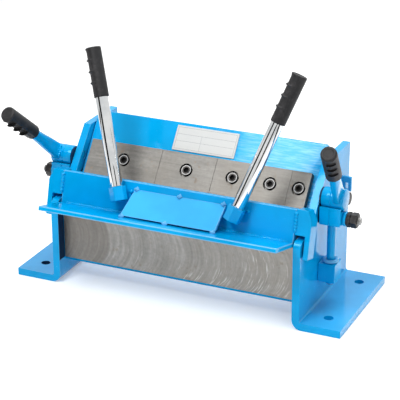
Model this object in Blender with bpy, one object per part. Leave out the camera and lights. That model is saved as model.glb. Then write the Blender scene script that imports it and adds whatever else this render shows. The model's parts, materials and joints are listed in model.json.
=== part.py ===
"""Finger brake for thin sheet metal, 300 mm wide, modelled as an assembly of separate pieces.

Metres, +Z up. X runs along the bed, Y from the front to the back and Z up from the bench. The machine's own
measures start at the middle of its width, the front edges of its end frames and the bench. The "machine"
empty moves them so that the origin lies under the middle of the whole object.

At rest the folding leaf is raised to its stop and the clamp beam is pressed on the bed by its two levers.
"""

import math

import bmesh
import bpy
from mathutils import Matrix, Vector

MM = 0.001

# Clearances
FIT = 0.3 * MM
CUT_OVER = 6 * MM
EDGE_BREAK = 0.8 * MM
ROUND_SIDES = 24
ARC_STEPS = 8

# Fingers, from the left; their widths set the working width
FINGER_WIDTHS = (100 * MM, 75 * MM, 50 * MM, 50 * MM, 25 * MM)
FINGER_NAMES = ("finger_100", "finger_75", "finger_50_left", "finger_50_right", "finger_25")
FINGER_END_SPACE = 8.5 * MM
FINGER_THICK = 9.5 * MM
FINGER_FACE = 57 * MM
FINGER_LEAN = math.radians(37.5)
FINGER_TOP_BACK = 69.1 * MM
FINGER_TOP_RISE = 67.9 * MM
NOSE_SETBACK = 4.5 * MM
NOSE_TIP = 2.2 * MM
NOSE_TIP_RAKE = 0.6 * MM

# Screws that hold the fingers
SCREW_DROP = 21.7 * MM
SCREW_R = 4 * MM
SCREW_HEAD_R = 6.8 * MM
SCREW_HEAD = 5 * MM
SCREW_SOCKET_R = 4.4 * MM
SCREW_SOCKET = 3 * MM
SCREW_GRIP = 9 * MM
COUNTERBORE_R = 8.7 * MM
COUNTERBORE_FLOOR = 4 * MM

# Bed
BED_TOP = 102.5 * MM
BED_SETBACK = 14 * MM
BED_BAR = 12 * MM
BED_BAR_HEIGHT = 71 * MM
BACKING_PLATE = 8 * MM
BACKING_DROP = 9.5 * MM
BACKING_FLANGE = 74 * MM
BACKING_RELIEF = 0.6 * MM

# End frames, each a bent plate with a foot
FRAME_PLATE = 9.5 * MM
FRAME_DEPTH = 168 * MM
FRAME_RISE = 82.5 * MM
FRAME_LIP = 11.4 * MM
FRAME_LIP_DEPTH = 32 * MM
FRAME_SLANT_DEPTH = 62 * MM
FRAME_CORNER_R = 9 * MM
FRAME_BEND_R = 3 * MM
FOOT_REACH = 52.8 * MM
FOOT_HOLE_R = 6 * MM
FOOT_HOLE_EDGE = 25 * MM
FOOT_HOLE_END = 28.5 * MM

# Clamp beam, behind the fingers and leaning as they do
BEAM_PLATE = 14 * MM
BEAM_END_SPACE = 1 * MM
BEAM_OVER_FINGER = 42 * MM
BEAM_UNDER_TOP = 58 * MM
BEAM_OPENING = math.radians(2.4)

# Label plate on the beam
LABEL_LEFT = -43 * MM
LABEL_WIDTH = 85 * MM
LABEL_HEIGHT = 33 * MM
LABEL_OVER_FINGER = 4.5 * MM
LABEL_PLATE = 0.8 * MM

# Beam arms and their pivots at the back
ARM_PLATE = 8 * MM
ARM_BOSS_R = 14 * MM
ARM_TOP_DROP = 4 * MM
ARM_FOOT_RISE = 6 * MM
PIVOT_EDGE = 27.5 * MM
PIVOT_RISE = 17.5 * MM
PIVOT_R = 5 * MM
PIVOT_HEAD_R = 9.8 * MM
PIVOT_HEAD = 11.5 * MM

# Clamp studs in the beam's lower ends, with blocks, spacers and nuts outside the frames
STUD_DROP = 45 * MM
STUD_R = 5 * MM
STUD_DEPTH = 28 * MM
STUD_SLOT_ROOM = 1 * MM
BLOCK_WIDTH = 28.5 * MM
BLOCK_DEPTH = 27 * MM
BLOCK_UNDER = 6.5 * MM
BLOCK_LIP = 3.2 * MM
BLOCK_LIP_RISE = 5.7 * MM
SPACER_R = 9 * MM
SPACER = 4.2 * MM
NUT_R = 9.8 * MM
NUT = 8 * MM
LOCK_NUT = 5.2 * MM
STUD_PAST_NUT = 4 * MM

# Clamp levers with their eccentric hubs
HUB_R = 13 * MM
HUB_LENGTH = 30.5 * MM
HUB_BACK = 56.5 * MM
HUB_RISE = 45.5 * MM
HUB_GAP = 0.4 * MM
HUB_END_BREAK = 1 * MM
ECCENTRIC_START = math.radians(40)
SHAFT_R = 5 * MM
LEFT_LEVER_LEAN = math.radians(49.5)
RIGHT_LEVER_LEAN = math.radians(44.2)
LEVER_SPLAY = math.radians(10.8)
LEVER_TURN = math.radians(100)
LEVER_LENGTH = 71.8 * MM
LEVER_OUT = 21.9 * MM
LEVER_ROOT_WIDTH = 19 * MM
LEVER_ROOT_THICK = 9 * MM
LEVER_END_R = 6.8 * MM
LEVER_TANG_R = 5 * MM
LEVER_TANG = 40 * MM
LEVER_GRIP_R = 9.7 * MM
LEVER_GRIP_LENGTH = 61 * MM

# Release rods under the blocks, in guide blocks on the frames
ROD_OUT = 12.5 * MM
ROD_BACK = 59 * MM
ROD_R = 5.3 * MM
ROD_LIFT_SHARE = 0.85
ROD_BELOW_GUIDE = 6.5 * MM
ROD_SHOULDER_R = 7.6 * MM
ROD_SHOULDER = 3 * MM
ROD_SHOULDER_ROOM = 3.3 * MM
GUIDE_WIDTH = 22 * MM
GUIDE_DEPTH = 24 * MM
GUIDE_HEIGHT = 24 * MM
GUIDE_UNDER_BED = 39 * MM
GUIDE_FLOOR = 4 * MM
GUIDE_BORE_R = 8.2 * MM
RING_R = 10 * MM
RING = 4 * MM
SPRING_WALL = 1.6 * MM

# Slotted brackets over the pivot bolts
BRACKET_WIDTH = 12.7 * MM
BRACKET_PLATE = 4 * MM
BRACKET_HEIGHT = 19 * MM
BRACKET_OVER_PIVOT = 10.5 * MM
BRACKET_SLOT = 3.2 * MM
BRACKET_SLOT_IN = 7.2 * MM
BRACKET_SLOT_EDGE = 2.5 * MM
BRACKET_SLOT_HEIGHT = 9 * MM

# Folding leaf, in its own upright measures: Y = 0 is its working face and Z = 0 its hinge axis
LEAF_LEAN = math.radians(15)
LEAF_TURN = math.radians(105)
LEAF_GAP = 0.4 * MM
LEAF_WEB = 9.6 * MM
LEAF_HEIGHT = 46.5 * MM
LEAF_END_SPACE = 2 * MM
SHELF_PLATE = 5.9 * MM
SHELF_DEPTH = 56 * MM
SHELF_END_SPACE = 1 * MM
EAR_DEPTH = 21 * MM
EAR_OVER_LIP = 4.1 * MM
EAR_EYE_WALL = 7.2 * MM
EAR_LEG_PLATE = 6.5 * MM
EAR_SLOT = 2 * MM
EAR_SKIN = 1.5 * MM
EAR_CHAMFER_WIDTH = 6 * MM
EAR_CHAMFER_HEIGHT = 13.5 * MM
HINGE_PIN_R = 5 * MM
GUSSET_OFFSET = 5.5 * MM
GUSSET_TOP_HALF = 61.1 * MM
GUSSET_FOOT_HALF = 63.2 * MM
GUSSET_TOP_DROP = 8.8 * MM
GUSSET_FOOT_OUT = 35.5 * MM
GUSSET_PLATE = 4 * MM

# Leaf handles, from the lower end of the bare rod upward
HANDLE_BESIDE_GUSSET = 19.5 * MM
HANDLE_DROP = 7.7 * MM
HANDLE_OUT = 11.9 * MM
LEFT_HANDLE_SPLAY = math.radians(18.9)
RIGHT_HANDLE_SPLAY = math.radians(18.7)
HANDLE_LEAN = math.radians(3.6)
SOCKET_R = 11 * MM
SOCKET_LENGTH = 18 * MM
SOCKET_FLOOR = 4 * MM
ROD_BARE = 112 * MM
HANDLE_ROD_R = 8 * MM
ROD_IN_GRIP = 50 * MM
GRIP_R = 9.6 * MM
GRIP_LENGTH = 62 * MM

# Places worked out from the sizes
WORKING_WIDTH = sum(FINGER_WIDTHS)
FRAME_INNER = WORKING_WIDTH / 2 + FINGER_END_SPACE
FRAME_OUTER = FRAME_INNER + FRAME_PLATE
FOOT_EDGE = FRAME_OUTER + FOOT_REACH
FRAME_TOP = BED_TOP + FRAME_RISE
FINGER_TOP_Y = BED_SETBACK + FINGER_TOP_BACK
FINGER_TOP_Z = BED_TOP + FINGER_TOP_RISE
PIVOT_Y = FRAME_DEPTH - PIVOT_EDGE
PIVOT_Z = BED_TOP + PIVOT_RISE
BEAM_FRONT = FINGER_THICK + FIT
BEAM_BACK = BEAM_FRONT + BEAM_PLATE
BEAM_END = FRAME_INNER - BEAM_END_SPACE
STUD_BEHIND = BEAM_FRONT + BEAM_PLATE / 2
BLOCK_INNER = FRAME_OUTER + FIT
BLOCK_OUTER = BLOCK_INNER + BLOCK_WIDTH
HUB_Y = BED_SETBACK + HUB_BACK
HUB_Z = BED_TOP + HUB_RISE
ROD_X = FRAME_OUTER + ROD_OUT
ROD_Y = BED_SETBACK + ROD_BACK
GUIDE_TOP = BED_TOP - GUIDE_UNDER_BED
LEAF_END = FRAME_INNER - LEAF_END_SPACE
EAR_LEG_INNER = FRAME_OUTER + EAR_SLOT
EAR_OUTER = EAR_LEG_INNER + EAR_LEG_PLATE
EAR_NOTCH = FRAME_LIP + EAR_OVER_LIP
EAR_FOOT = HINGE_PIN_R + FIT + EAR_EYE_WALL


def leaf_place(out, up):
    """(Y, Z) on the machine of a place out from the raised leaf's working face and up from its hinge."""
    along = BED_SETBACK - out * math.cos(LEAF_LEAN) + up * math.sin(LEAF_LEAN)
    rise = BED_TOP + out * math.sin(LEAF_LEAN) + up * math.cos(LEAF_LEAN)
    return along, rise


def finger_plane_place(behind, over):
    """(Y, Z) on the machine of a place behind the fingers' front plane and over their top edge."""
    along = FINGER_TOP_Y + behind * math.cos(FINGER_LEAN) + over * math.sin(FINGER_LEAN)
    rise = FINGER_TOP_Z - behind * math.sin(FINGER_LEAN) + over * math.cos(FINGER_LEAN)
    return along, rise


def to_finger_plane(along, rise):
    """(behind, over) in the fingers' plane of a (Y, Z) place on the machine."""
    back, up = along - FINGER_TOP_Y, rise - FINGER_TOP_Z
    behind = back * math.cos(FINGER_LEAN) - up * math.sin(FINGER_LEAN)
    over = back * math.sin(FINGER_LEAN) + up * math.cos(FINGER_LEAN)
    return behind, over


def beam_opened(along, rise):
    """(Y, Z) on the machine of a place on the clamp beam when the beam is fully open."""
    back, up = along - PIVOT_Y, rise - PIVOT_Z
    turned_back = back * math.cos(BEAM_OPENING) + up * math.sin(BEAM_OPENING)
    turned_up = up * math.cos(BEAM_OPENING) - back * math.sin(BEAM_OPENING)
    return PIVOT_Y + turned_back, PIVOT_Z + turned_up


STUD_Y, STUD_Z = finger_plane_place(STUD_BEHIND, -STUD_DROP)
STUD_OPEN_Y, STUD_OPEN_Z = beam_opened(STUD_Y, STUD_Z)
BLOCK_FRONT = STUD_Y - BLOCK_DEPTH / 2
BLOCK_BACK = STUD_Y + BLOCK_DEPTH / 2
BLOCK_BOTTOM = STUD_Z - BLOCK_UNDER
BLOCK_TOP = HUB_Z - HUB_R - HUB_GAP
BLOCK_LIFT = beam_opened(HUB_Y - HUB_R / 2, BLOCK_TOP)[1] - BLOCK_TOP
ECCENTRICITY = BLOCK_LIFT / (math.cos(ECCENTRIC_START) - math.cos(ECCENTRIC_START + LEVER_TURN))
SHAFT_Y = HUB_Y + ECCENTRICITY * math.sin(ECCENTRIC_START)
SHAFT_Z = HUB_Z + ECCENTRICITY * math.cos(ECCENTRIC_START)
ROD_TOP = BLOCK_BOTTOM - FIT
ROD_LIFT = ROD_LIFT_SHARE * (beam_opened(ROD_Y + ROD_R, BLOCK_BOTTOM)[1] - BLOCK_BOTTOM)
LEAF_FRONT_Y = leaf_place(LEAF_WEB + FIT + SHELF_DEPTH, LEAF_GAP)[0]
MACHINE_CENTRE_Y = (LEAF_FRONT_Y + FRAME_DEPTH) / 2


# Scene, materials and empties

def clear_scene():
    for obj in list(bpy.data.objects):
        bpy.data.objects.remove(obj, do_unlink=True)


def make_material(name, colour, roughness, metallic):
    material = bpy.data.materials.new(name)
    material.use_nodes = True
    shader = material.node_tree.nodes["Principled BSDF"]
    shader.inputs["Base Color"].default_value = (*colour, 1)
    shader.inputs["Roughness"].default_value = roughness
    shader.inputs["Metallic"].default_value = metallic
    material.diffuse_color = (*colour, 1)
    return material


def blue_paint():
    return make_material("blue_paint", (0.02, 0.32, 0.80), 0.32, 0)


def ground_steel():
    return make_material("ground_steel", (0.60, 0.58, 0.54), 0.35, 1)


def bright_chrome():
    return make_material("bright_chrome", (0.80, 0.81, 0.82), 0.08, 1)


def black_grip():
    return make_material("black_grip", (0.02, 0.02, 0.02), 0.55, 0)


def black_steel():
    return make_material("black_steel", (0.05, 0.05, 0.05), 0.40, 0.8)


def label_sheet():
    return make_material("label_sheet", (0.82, 0.84, 0.86), 0.40, 0)


def make_holder(name, parent, place=(0, 0, 0), turn=(0, 0, 0)):
    """An empty that carries pieces: its own axes are the ones that they are measured in."""
    empty = bpy.data.objects.new(name, None)
    bpy.context.collection.objects.link(empty)
    empty.parent = parent
    empty.location = place
    empty.rotation_euler = turn
    return empty


# Shapes, each a bmesh in its holder's own axes

def axis_order(axis):
    """The number of the named axis, and of the two across it."""
    along = "XYZ".index(axis)
    across = [number for number in range(3) if number != along]
    return along, *across


def prism(outline, start, end, axis="X"):
    """An outline in the plane across an axis, extruded from start to end along it."""
    along, first, second = axis_order(axis)
    mesh = bmesh.new()
    corners = []
    for a, b in outline:
        place = [0, 0, 0]
        place[first], place[second], place[along] = a, b, start
        corners.append(mesh.verts.new(place))
    face = mesh.faces.new(corners)
    made = bmesh.ops.extrude_face_region(mesh, geom=[face])["geom"]
    moved = [item for item in made if isinstance(item, bmesh.types.BMVert)]
    shift = Vector((0, 0, 0))
    shift[along] = end - start
    bmesh.ops.translate(mesh, verts=moved, vec=shift)
    bmesh.ops.recalc_face_normals(mesh, faces=mesh.faces)
    return mesh


def block(x_range, y_range, z_range):
    y_low, y_high = y_range
    z_low, z_high = z_range
    outline = ((y_low, z_low), (y_high, z_low), (y_high, z_high), (y_low, z_high))
    return prism(outline, *x_range)


def axis_turn(axis):
    """The rotation that lays a cylinder made along Z on the named axis."""
    if axis == "X":
        return Matrix.Rotation(math.radians(90), 4, "Y")
    if axis == "Y":
        return Matrix.Rotation(math.radians(-90), 4, "X")
    return Matrix.Identity(4)


def rod(radius, start, end, centre=(0, 0), axis="X", sides=ROUND_SIDES, turn=0, end_radius=None):
    """A round or many-sided bar along an axis, tapered where end_radius differs."""
    along, first, second = axis_order(axis)
    place = Vector((0, 0, 0))
    place[first], place[second], place[along] = *centre, (start + end) / 2
    mesh = bmesh.new()
    matrix = Matrix.Translation(place) @ axis_turn(axis) @ Matrix.Rotation(turn, 4, "Z")
    last_radius = radius if end_radius is None else end_radius
    radii = (radius, last_radius) if end > start else (last_radius, radius)
    bmesh.ops.create_cone(mesh, cap_ends=True, segments=sides, radius1=radii[0], radius2=radii[1],
                          depth=abs(end - start), matrix=matrix)
    bmesh.ops.recalc_face_normals(mesh, faces=mesh.faces)
    return mesh


def turned(profile, centre=(0, 0), axis="Z", sides=ROUND_SIDES):
    """A solid of revolution: profile is a list of (radius, along) from one end of the axis to the other."""
    first, second = axis_order(axis)[1:]
    place = Vector((0, 0, 0))
    place[first], place[second] = centre
    mesh = bmesh.new()
    corners = [mesh.verts.new((radius, 0, along)) for radius, along in profile]
    edges = [mesh.edges.new(pair) for pair in zip(corners, corners[1:])]
    bmesh.ops.spin(mesh, geom=corners + edges, axis=(0, 0, 1), cent=(0, 0, 0), steps=sides,
                   angle=math.tau, use_merge=True)
    bmesh.ops.remove_doubles(mesh, verts=mesh.verts, dist=FIT / 100)
    bmesh.ops.transform(mesh, verts=mesh.verts, matrix=Matrix.Translation(place) @ axis_turn(axis))
    bmesh.ops.recalc_face_normals(mesh, faces=mesh.faces)
    return mesh


def arc(centre, radius, start, end):
    """Points on an arc, from the start angle to the end angle, in radians from the first axis."""
    points = []
    for step in range(ARC_STEPS + 1):
        angle = start + (end - start) * step / ARC_STEPS
        points.append((centre[0] + radius * math.cos(angle), centre[1] + radius * math.sin(angle)))
    return points


def add_piece(name, mesh, material, holder, bevel=0):
    """A named object from a bmesh, carried by its holder."""
    data = bpy.data.meshes.new(name)
    mesh.to_mesh(data)
    mesh.free()
    data.shade_smooth()
    data.set_sharp_from_angle(angle=math.radians(35))
    data.materials.append(material)
    obj = bpy.data.objects.new(name, data)
    bpy.context.collection.objects.link(obj)
    obj.parent = holder
    if bevel:
        modifier = obj.modifiers.new("edge_break", "BEVEL")
        modifier.width = bevel
        modifier.segments = 1
        modifier.limit_method = "ANGLE"
    return obj


def cut(obj, mesh, operation="DIFFERENCE"):
    """Takes a bmesh, given in the same axes, away from a piece, or joins it to the piece."""
    data = bpy.data.meshes.new(obj.name + "_cutter")
    mesh.to_mesh(data)
    mesh.free()
    cutter = bpy.data.objects.new(obj.name + "_cutter", data)
    bpy.context.collection.objects.link(cutter)
    cutter.parent = obj.parent
    cutter.hide_render = True
    cutter.display_type = "WIRE"
    modifier = obj.modifiers.new("cut", "BOOLEAN")
    modifier.operation = operation
    modifier.object = cutter


def side_name(side):
    return "right" if side > 0 else "left"


# End frames and bed

def end_frame(side, holder, material):
    """A plate bent into an upright and a foot, with its front corner cut away."""
    inner, outer, edge = side * FRAME_INNER, side * FRAME_OUTER, side * FOOT_EDGE
    outside_r = FRAME_BEND_R + FRAME_PLATE
    outer_bend = arc((side * (FRAME_INNER + outside_r), outside_r), outside_r,
                     math.radians(180 if side > 0 else 0), math.radians(270 if side > 0 else -90))
    inner_bend = arc((side * (FRAME_OUTER + FRAME_BEND_R), outside_r), FRAME_BEND_R,
                     math.radians(270 if side > 0 else -90), math.radians(180 if side > 0 else 0))
    outline = [(inner, FRAME_TOP)] + outer_bend + [(edge, 0), (edge, FRAME_PLATE)] + inner_bend
    outline.append((outer, FRAME_TOP))
    frame = add_piece(side_name(side) + "_end_frame", prism(outline, 0, FRAME_DEPTH, "Y"), material, holder)
    cut(frame, front_corner_cutter(side))
    hole_x = side * (FOOT_EDGE - FOOT_HOLE_EDGE)
    for hole_y in (FOOT_HOLE_END, FRAME_DEPTH - FOOT_HOLE_END):
        cut(frame, rod(FOOT_HOLE_R, -CUT_OVER, FRAME_PLATE + CUT_OVER, (hole_x, hole_y), "Z"))
    for radius, centre in upright_holes():
        cut(frame, rod(radius, side * (FRAME_INNER - CUT_OVER), side * (FRAME_OUTER + CUT_OVER), centre))
    return frame


def upright_holes():
    """(radius, (Y, Z)) of the holes in an end frame: leaf hinge, lever shaft, beam pivot and stud."""
    stud_travel = math.hypot(STUD_OPEN_Y - STUD_Y, STUD_OPEN_Z - STUD_Z)
    stud_middle = ((STUD_Y + STUD_OPEN_Y) / 2, (STUD_Z + STUD_OPEN_Z) / 2)
    return (
        (HINGE_PIN_R + FIT, (BED_SETBACK, BED_TOP)),
        (SHAFT_R + FIT, (SHAFT_Y, SHAFT_Z)),
        (PIVOT_R + FIT, (PIVOT_Y, PIVOT_Z)),
        (STUD_R + stud_travel / 2 + STUD_SLOT_ROOM, stud_middle),
    )


def front_corner_cutter(side):
    """What an end frame lacks over its front lip, which has a round front corner and a slant behind it."""
    lip = BED_TOP + FRAME_LIP
    top = FRAME_TOP + CUT_OVER
    slant = FRAME_SLANT_DEPTH / (FRAME_TOP - lip)
    slant_end = FRAME_LIP_DEPTH + slant * (top - lip)
    corner = arc((FRAME_CORNER_R, lip - FRAME_CORNER_R), FRAME_CORNER_R, math.radians(180), math.radians(90))
    outline = [(-CUT_OVER, top), (-CUT_OVER, lip - FRAME_CORNER_R)] + corner
    outline += [(FRAME_LIP_DEPTH, lip), (slant_end, top)]
    return prism(outline, side * (FRAME_INNER - CUT_OVER), side * (FRAME_OUTER + CUT_OVER))


def bed(holder, steel, paint):
    """The ground steel bar that the sheet is bent over, and the angle that stiffens it from behind."""
    half = FRAME_INNER - FIT
    back = BED_SETBACK + BED_BAR
    bottom = BED_TOP - BED_BAR_HEIGHT
    add_piece("bed_bar", block((-half, half), (BED_SETBACK, back), (bottom, BED_TOP)), steel, holder)
    leg_front = back + FIT
    leg_back = leg_front + BACKING_PLATE
    top = BED_TOP - BACKING_RELIEF
    low = bottom - BACKING_DROP
    flange_back = leg_back + BACKING_FLANGE
    outline = ((leg_front, low), (leg_back, low), (leg_back, top - BACKING_PLATE),
               (flange_back, top - BACKING_PLATE), (flange_back, top), (leg_front, top))
    add_piece("bed_backing", prism(outline, -half, half), paint, holder)


# Clamp beam and fingers, in the axes of the fingers' front plane

def clamp_beam(holder, material):
    """The leaning plate that carries the fingers, drilled for their screws and for the studs in its ends."""
    beam = add_piece("clamp_beam", block((-BEAM_END, BEAM_END), (BEAM_FRONT, BEAM_BACK),
                                         (-BEAM_UNDER_TOP, BEAM_OVER_FINGER)), material, holder, EDGE_BREAK)
    for centre_x in finger_centres():
        cut(beam, rod(SCREW_R + FIT, BEAM_FRONT - CUT_OVER, BEAM_FRONT + SCREW_GRIP + FIT,
                      (centre_x, -SCREW_DROP), "Y", ROUND_SIDES // 2))
    for side in (-1, 1):
        cut(beam, rod(STUD_R + FIT, side * (BEAM_END - STUD_DEPTH - FIT), side * (BEAM_END + CUT_OVER),
                      (STUD_BEHIND, -STUD_DROP)))
    return beam


def finger_centres():
    """The middle of each finger along the bed."""
    centres = []
    left = -WORKING_WIDTH / 2
    for width in FINGER_WIDTHS:
        centres.append(left + width / 2)
        left += width
    return centres


def finger_outline():
    """A finger from the side: a flat body down to a nose that reaches forward over the bed."""
    tip_y = BED_SETBACK + NOSE_SETBACK
    sole_z = BED_TOP + FIT
    back_drop = (FINGER_TOP_Z - FINGER_THICK * math.sin(FINGER_LEAN) - sole_z) / math.cos(FINGER_LEAN)
    return (
        (0, 0),
        (FINGER_THICK, 0),
        (FINGER_THICK, -back_drop),
        to_finger_plane(tip_y + NOSE_TIP_RAKE, sole_z),
        to_finger_plane(tip_y, sole_z + NOSE_TIP),
        (0, -FINGER_FACE),
    )


def fingers(holder, steel, black):
    """Each finger with its counterbored hole and its screw."""
    bore_floor = FINGER_THICK - COUNTERBORE_FLOOR
    for name, width, centre_x in zip(FINGER_NAMES, FINGER_WIDTHS, finger_centres()):
        half = width / 2 - FIT / 2
        place = (centre_x, -SCREW_DROP)
        finger = add_piece(name, prism(finger_outline(), centre_x - half, centre_x + half), steel, holder)
        cut(finger, rod(SCREW_R + FIT, -CUT_OVER, FINGER_THICK + CUT_OVER, place, "Y", ROUND_SIDES // 2))
        cut(finger, rod(COUNTERBORE_R, -CUT_OVER, bore_floor, place, "Y"))
        head_back = bore_floor - FIT
        head_front = head_back - SCREW_HEAD
        shank_end = BEAM_FRONT + SCREW_GRIP
        profile = ((0, head_front), (SCREW_HEAD_R - EDGE_BREAK, head_front),
                   (SCREW_HEAD_R, head_front + EDGE_BREAK), (SCREW_HEAD_R, head_back),
                   (SCREW_R, head_back), (SCREW_R, shank_end), (0, shank_end))
        screw = add_piece(name + "_screw", turned(profile, place, "Y", ROUND_SIDES // 2), black, holder)
        cut(screw, rod(SCREW_SOCKET_R, head_front - CUT_OVER, head_front + SCREW_SOCKET, place, "Y", 6))


def label_plate(holder, material):
    low = LABEL_OVER_FINGER
    add_piece("label_plate", block((LABEL_LEFT, LABEL_LEFT + LABEL_WIDTH),
                                   (BEAM_FRONT - FIT - LABEL_PLATE, BEAM_FRONT - FIT),
                                   (low, low + LABEL_HEIGHT)), material, holder)


def beam_arm(side, holder, material):
    """A plate behind the end of the beam that reaches back to the pivot, in the beam pivot's own axes."""
    behind = BEAM_BACK + FIT
    top_y, top_z = finger_plane_place(behind, -ARM_TOP_DROP)
    foot_y, foot_z = finger_plane_place(behind, ARM_FOOT_RISE - BEAM_UNDER_TOP)
    top = Vector((top_y - PIVOT_Y, top_z - PIVOT_Z))
    foot = Vector((foot_y - PIVOT_Y, foot_z - PIVOT_Z))
    top_angle = math.atan2(top.y, top.x) - math.acos(ARM_BOSS_R / top.length)
    foot_angle = math.atan2(foot.y, foot.x) + math.acos(ARM_BOSS_R / foot.length)
    if foot_angle > top_angle:
        foot_angle -= math.tau
    outline = [tuple(top)] + arc((0, 0), ARM_BOSS_R, top_angle, foot_angle) + [tuple(foot)]
    outer = side * BEAM_END
    arm = add_piece(side_name(side) + "_beam_arm", prism(outline, outer - side * ARM_PLATE, outer),
                    material, holder)
    cut(arm, rod(PIVOT_R + FIT, outer - side * (ARM_PLATE + CUT_OVER), outer + side * CUT_OVER))


def pivot_bolt(side, holder, material):
    """A hexagon-headed bolt, fixed in the end frame, that the beam's arm turns on."""
    seat = FRAME_OUTER + FIT
    inner_end = BEAM_END - ARM_PLATE
    shank = rod(PIVOT_R, side * inner_end, side * (seat + FIT), (PIVOT_Y, PIVOT_Z))
    bolt = add_piece(side_name(side) + "_pivot_bolt", shank, material, holder)
    head = rod(PIVOT_HEAD_R, side * seat, side * (seat + PIVOT_HEAD), (PIVOT_Y, PIVOT_Z), sides=6)
    cut(bolt, head, "UNION")


# Clamping gear at each end

def clamp_stud(side, holder, material):
    """A stud from the beam's end out through the frame's slot, in the axes of the fingers' front plane."""
    nut_start = BLOCK_OUTER + FIT + SPACER + FIT
    locked = LOCK_NUT + FIT if side > 0 else 0
    end = nut_start + locked + NUT + STUD_PAST_NUT
    centre = (STUD_BEHIND, -STUD_DROP)
    inner_end = BEAM_END - STUD_DEPTH
    add_piece(side_name(side) + "_clamp_stud", rod(STUD_R, side * inner_end, side * end, centre),
              material, holder)
    if side > 0:
        clamp_nut("right_lock_nut", side, nut_start, LOCK_NUT, holder, material)
    clamp_nut(side_name(side) + "_clamp_nut", side, nut_start + locked, NUT, holder, material)


def clamp_nut(name, side, start, length, holder, material):
    centre = (STUD_BEHIND, -STUD_DROP)
    nut = add_piece(name, rod(NUT_R, side * start, side * (start + length), centre, sides=6),
                    material, holder)
    cut(nut, rod(STUD_R + FIT, side * (start - CUT_OVER), side * (start + length + CUT_OVER), centre))


def clamp_block(side, holder, material):
    """The block on the stud that the eccentric hub presses down, with a low lip in front of the hub."""
    outline = ((BLOCK_FRONT, BLOCK_BOTTOM), (BLOCK_BACK, BLOCK_BOTTOM), (BLOCK_BACK, BLOCK_TOP),
               (BLOCK_FRONT + BLOCK_LIP, BLOCK_TOP), (BLOCK_FRONT + BLOCK_LIP, BLOCK_TOP + BLOCK_LIP_RISE),
               (BLOCK_FRONT, BLOCK_TOP + BLOCK_LIP_RISE))
    moved = [(along - PIVOT_Y, rise - PIVOT_Z) for along, rise in outline]
    centre = (STUD_Y - PIVOT_Y, STUD_Z - PIVOT_Z)
    inner, outer = side * BLOCK_INNER, side * BLOCK_OUTER
    piece = add_piece(side_name(side) + "_clamp_block", prism(moved, inner, outer), material, holder)
    cut(piece, rod(STUD_R + FIT, inner - side * CUT_OVER, outer + side * CUT_OVER, centre))
    start, end = outer + side * FIT, outer + side * (FIT + SPACER)
    spacer = add_piece(side_name(side) + "_clamp_spacer", rod(SPACER_R, start, end, centre), material, holder)
    cut(spacer, rod(STUD_R + FIT, start - side * CUT_OVER, end + side * CUT_OVER, centre))


def lever_hub(side, holder, material):
    """An eccentric barrel with its shaft in one piece, in the axes of the shaft that turns in the frame."""
    inner = side * (FRAME_OUTER + FIT)
    outer = side * (FRAME_OUTER + FIT + HUB_LENGTH)
    centre = (HUB_Y - SHAFT_Y, HUB_Z - SHAFT_Z)
    barrel = rod(HUB_R, inner, outer - side * HUB_END_BREAK, centre)
    hub = add_piece(side_name(side) + "_lever_hub", barrel, material, holder)
    edge = rod(HUB_R, outer - side * (HUB_END_BREAK + FIT), outer, centre, end_radius=HUB_R - HUB_END_BREAK)
    cut(hub, edge, "UNION")
    cut(hub, rod(SHAFT_R, side * (FRAME_INNER + FIT), inner + side * HUB_END_BREAK), "UNION")
    return hub


def lever_arm(side, holder, hub_holder, material):
    """A flat bar at its root that grows round toward the grip, with a tang inside the grip."""
    sides = ROUND_SIDES
    mesh = bmesh.new()
    rings = []
    for height, across, deep, corner in lever_sections():
        ring = []
        for step in range(sides):
            angle = math.tau * (step + 0.5) / sides
            x = across * superellipse(math.cos(angle), corner)
            y = deep * superellipse(math.sin(angle), corner)
            ring.append(mesh.verts.new((x, y, height)))
        rings.append(ring)
    for low, high in zip(rings, rings[1:]):
        for step in range(sides):
            following = (step + 1) % sides
            mesh.faces.new((low[step], low[following], high[following], high[step]))
    mesh.faces.new(rings[0])
    mesh.faces.new(rings[-1])
    bmesh.ops.recalc_face_normals(mesh, faces=mesh.faces)
    arm = add_piece(side_name(side) + "_lever_arm", mesh, material, holder)
    relief = rod(HUB_R + FIT, side * (FRAME_OUTER - CUT_OVER), side * (FRAME_OUTER + HUB_LENGTH + CUT_OVER),
                 (HUB_Y - SHAFT_Y, HUB_Z - SHAFT_Z))
    cut_in_holder(arm, relief, hub_holder)


def lever_sections():
    """(height, half across, half deep, roundness) of the lever arm's sections from its root up its tang."""
    root = HUB_R - ECCENTRICITY - EDGE_BREAK
    middle = (HUB_R + LEVER_LENGTH) / 2
    width = (LEVER_ROOT_WIDTH / 2 + LEVER_END_R) / 2
    thick = (LEVER_ROOT_THICK / 2 + LEVER_END_R) / 2
    shoulder = LEVER_LENGTH - FIT
    return (
        (root, LEVER_ROOT_THICK / 2, LEVER_ROOT_WIDTH / 2, 0.3),
        (middle, thick, width, 0.6),
        (shoulder, LEVER_END_R, LEVER_END_R, 1),
        (shoulder + FIT / 2, LEVER_TANG_R, LEVER_TANG_R, 1),
        (LEVER_LENGTH + LEVER_TANG, LEVER_TANG_R, LEVER_TANG_R, 1),
    )


def superellipse(part, power):
    """The cosine or sine of a rounded square: power 1 is a circle, and lower is squarer."""
    return math.copysign(abs(part) ** power, part)


def cut_in_holder(obj, mesh, holder):
    """A cut whose cutter is measured in another holder's axes."""
    cut(obj, mesh)
    obj.modifiers[-1].object.parent = holder


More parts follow.
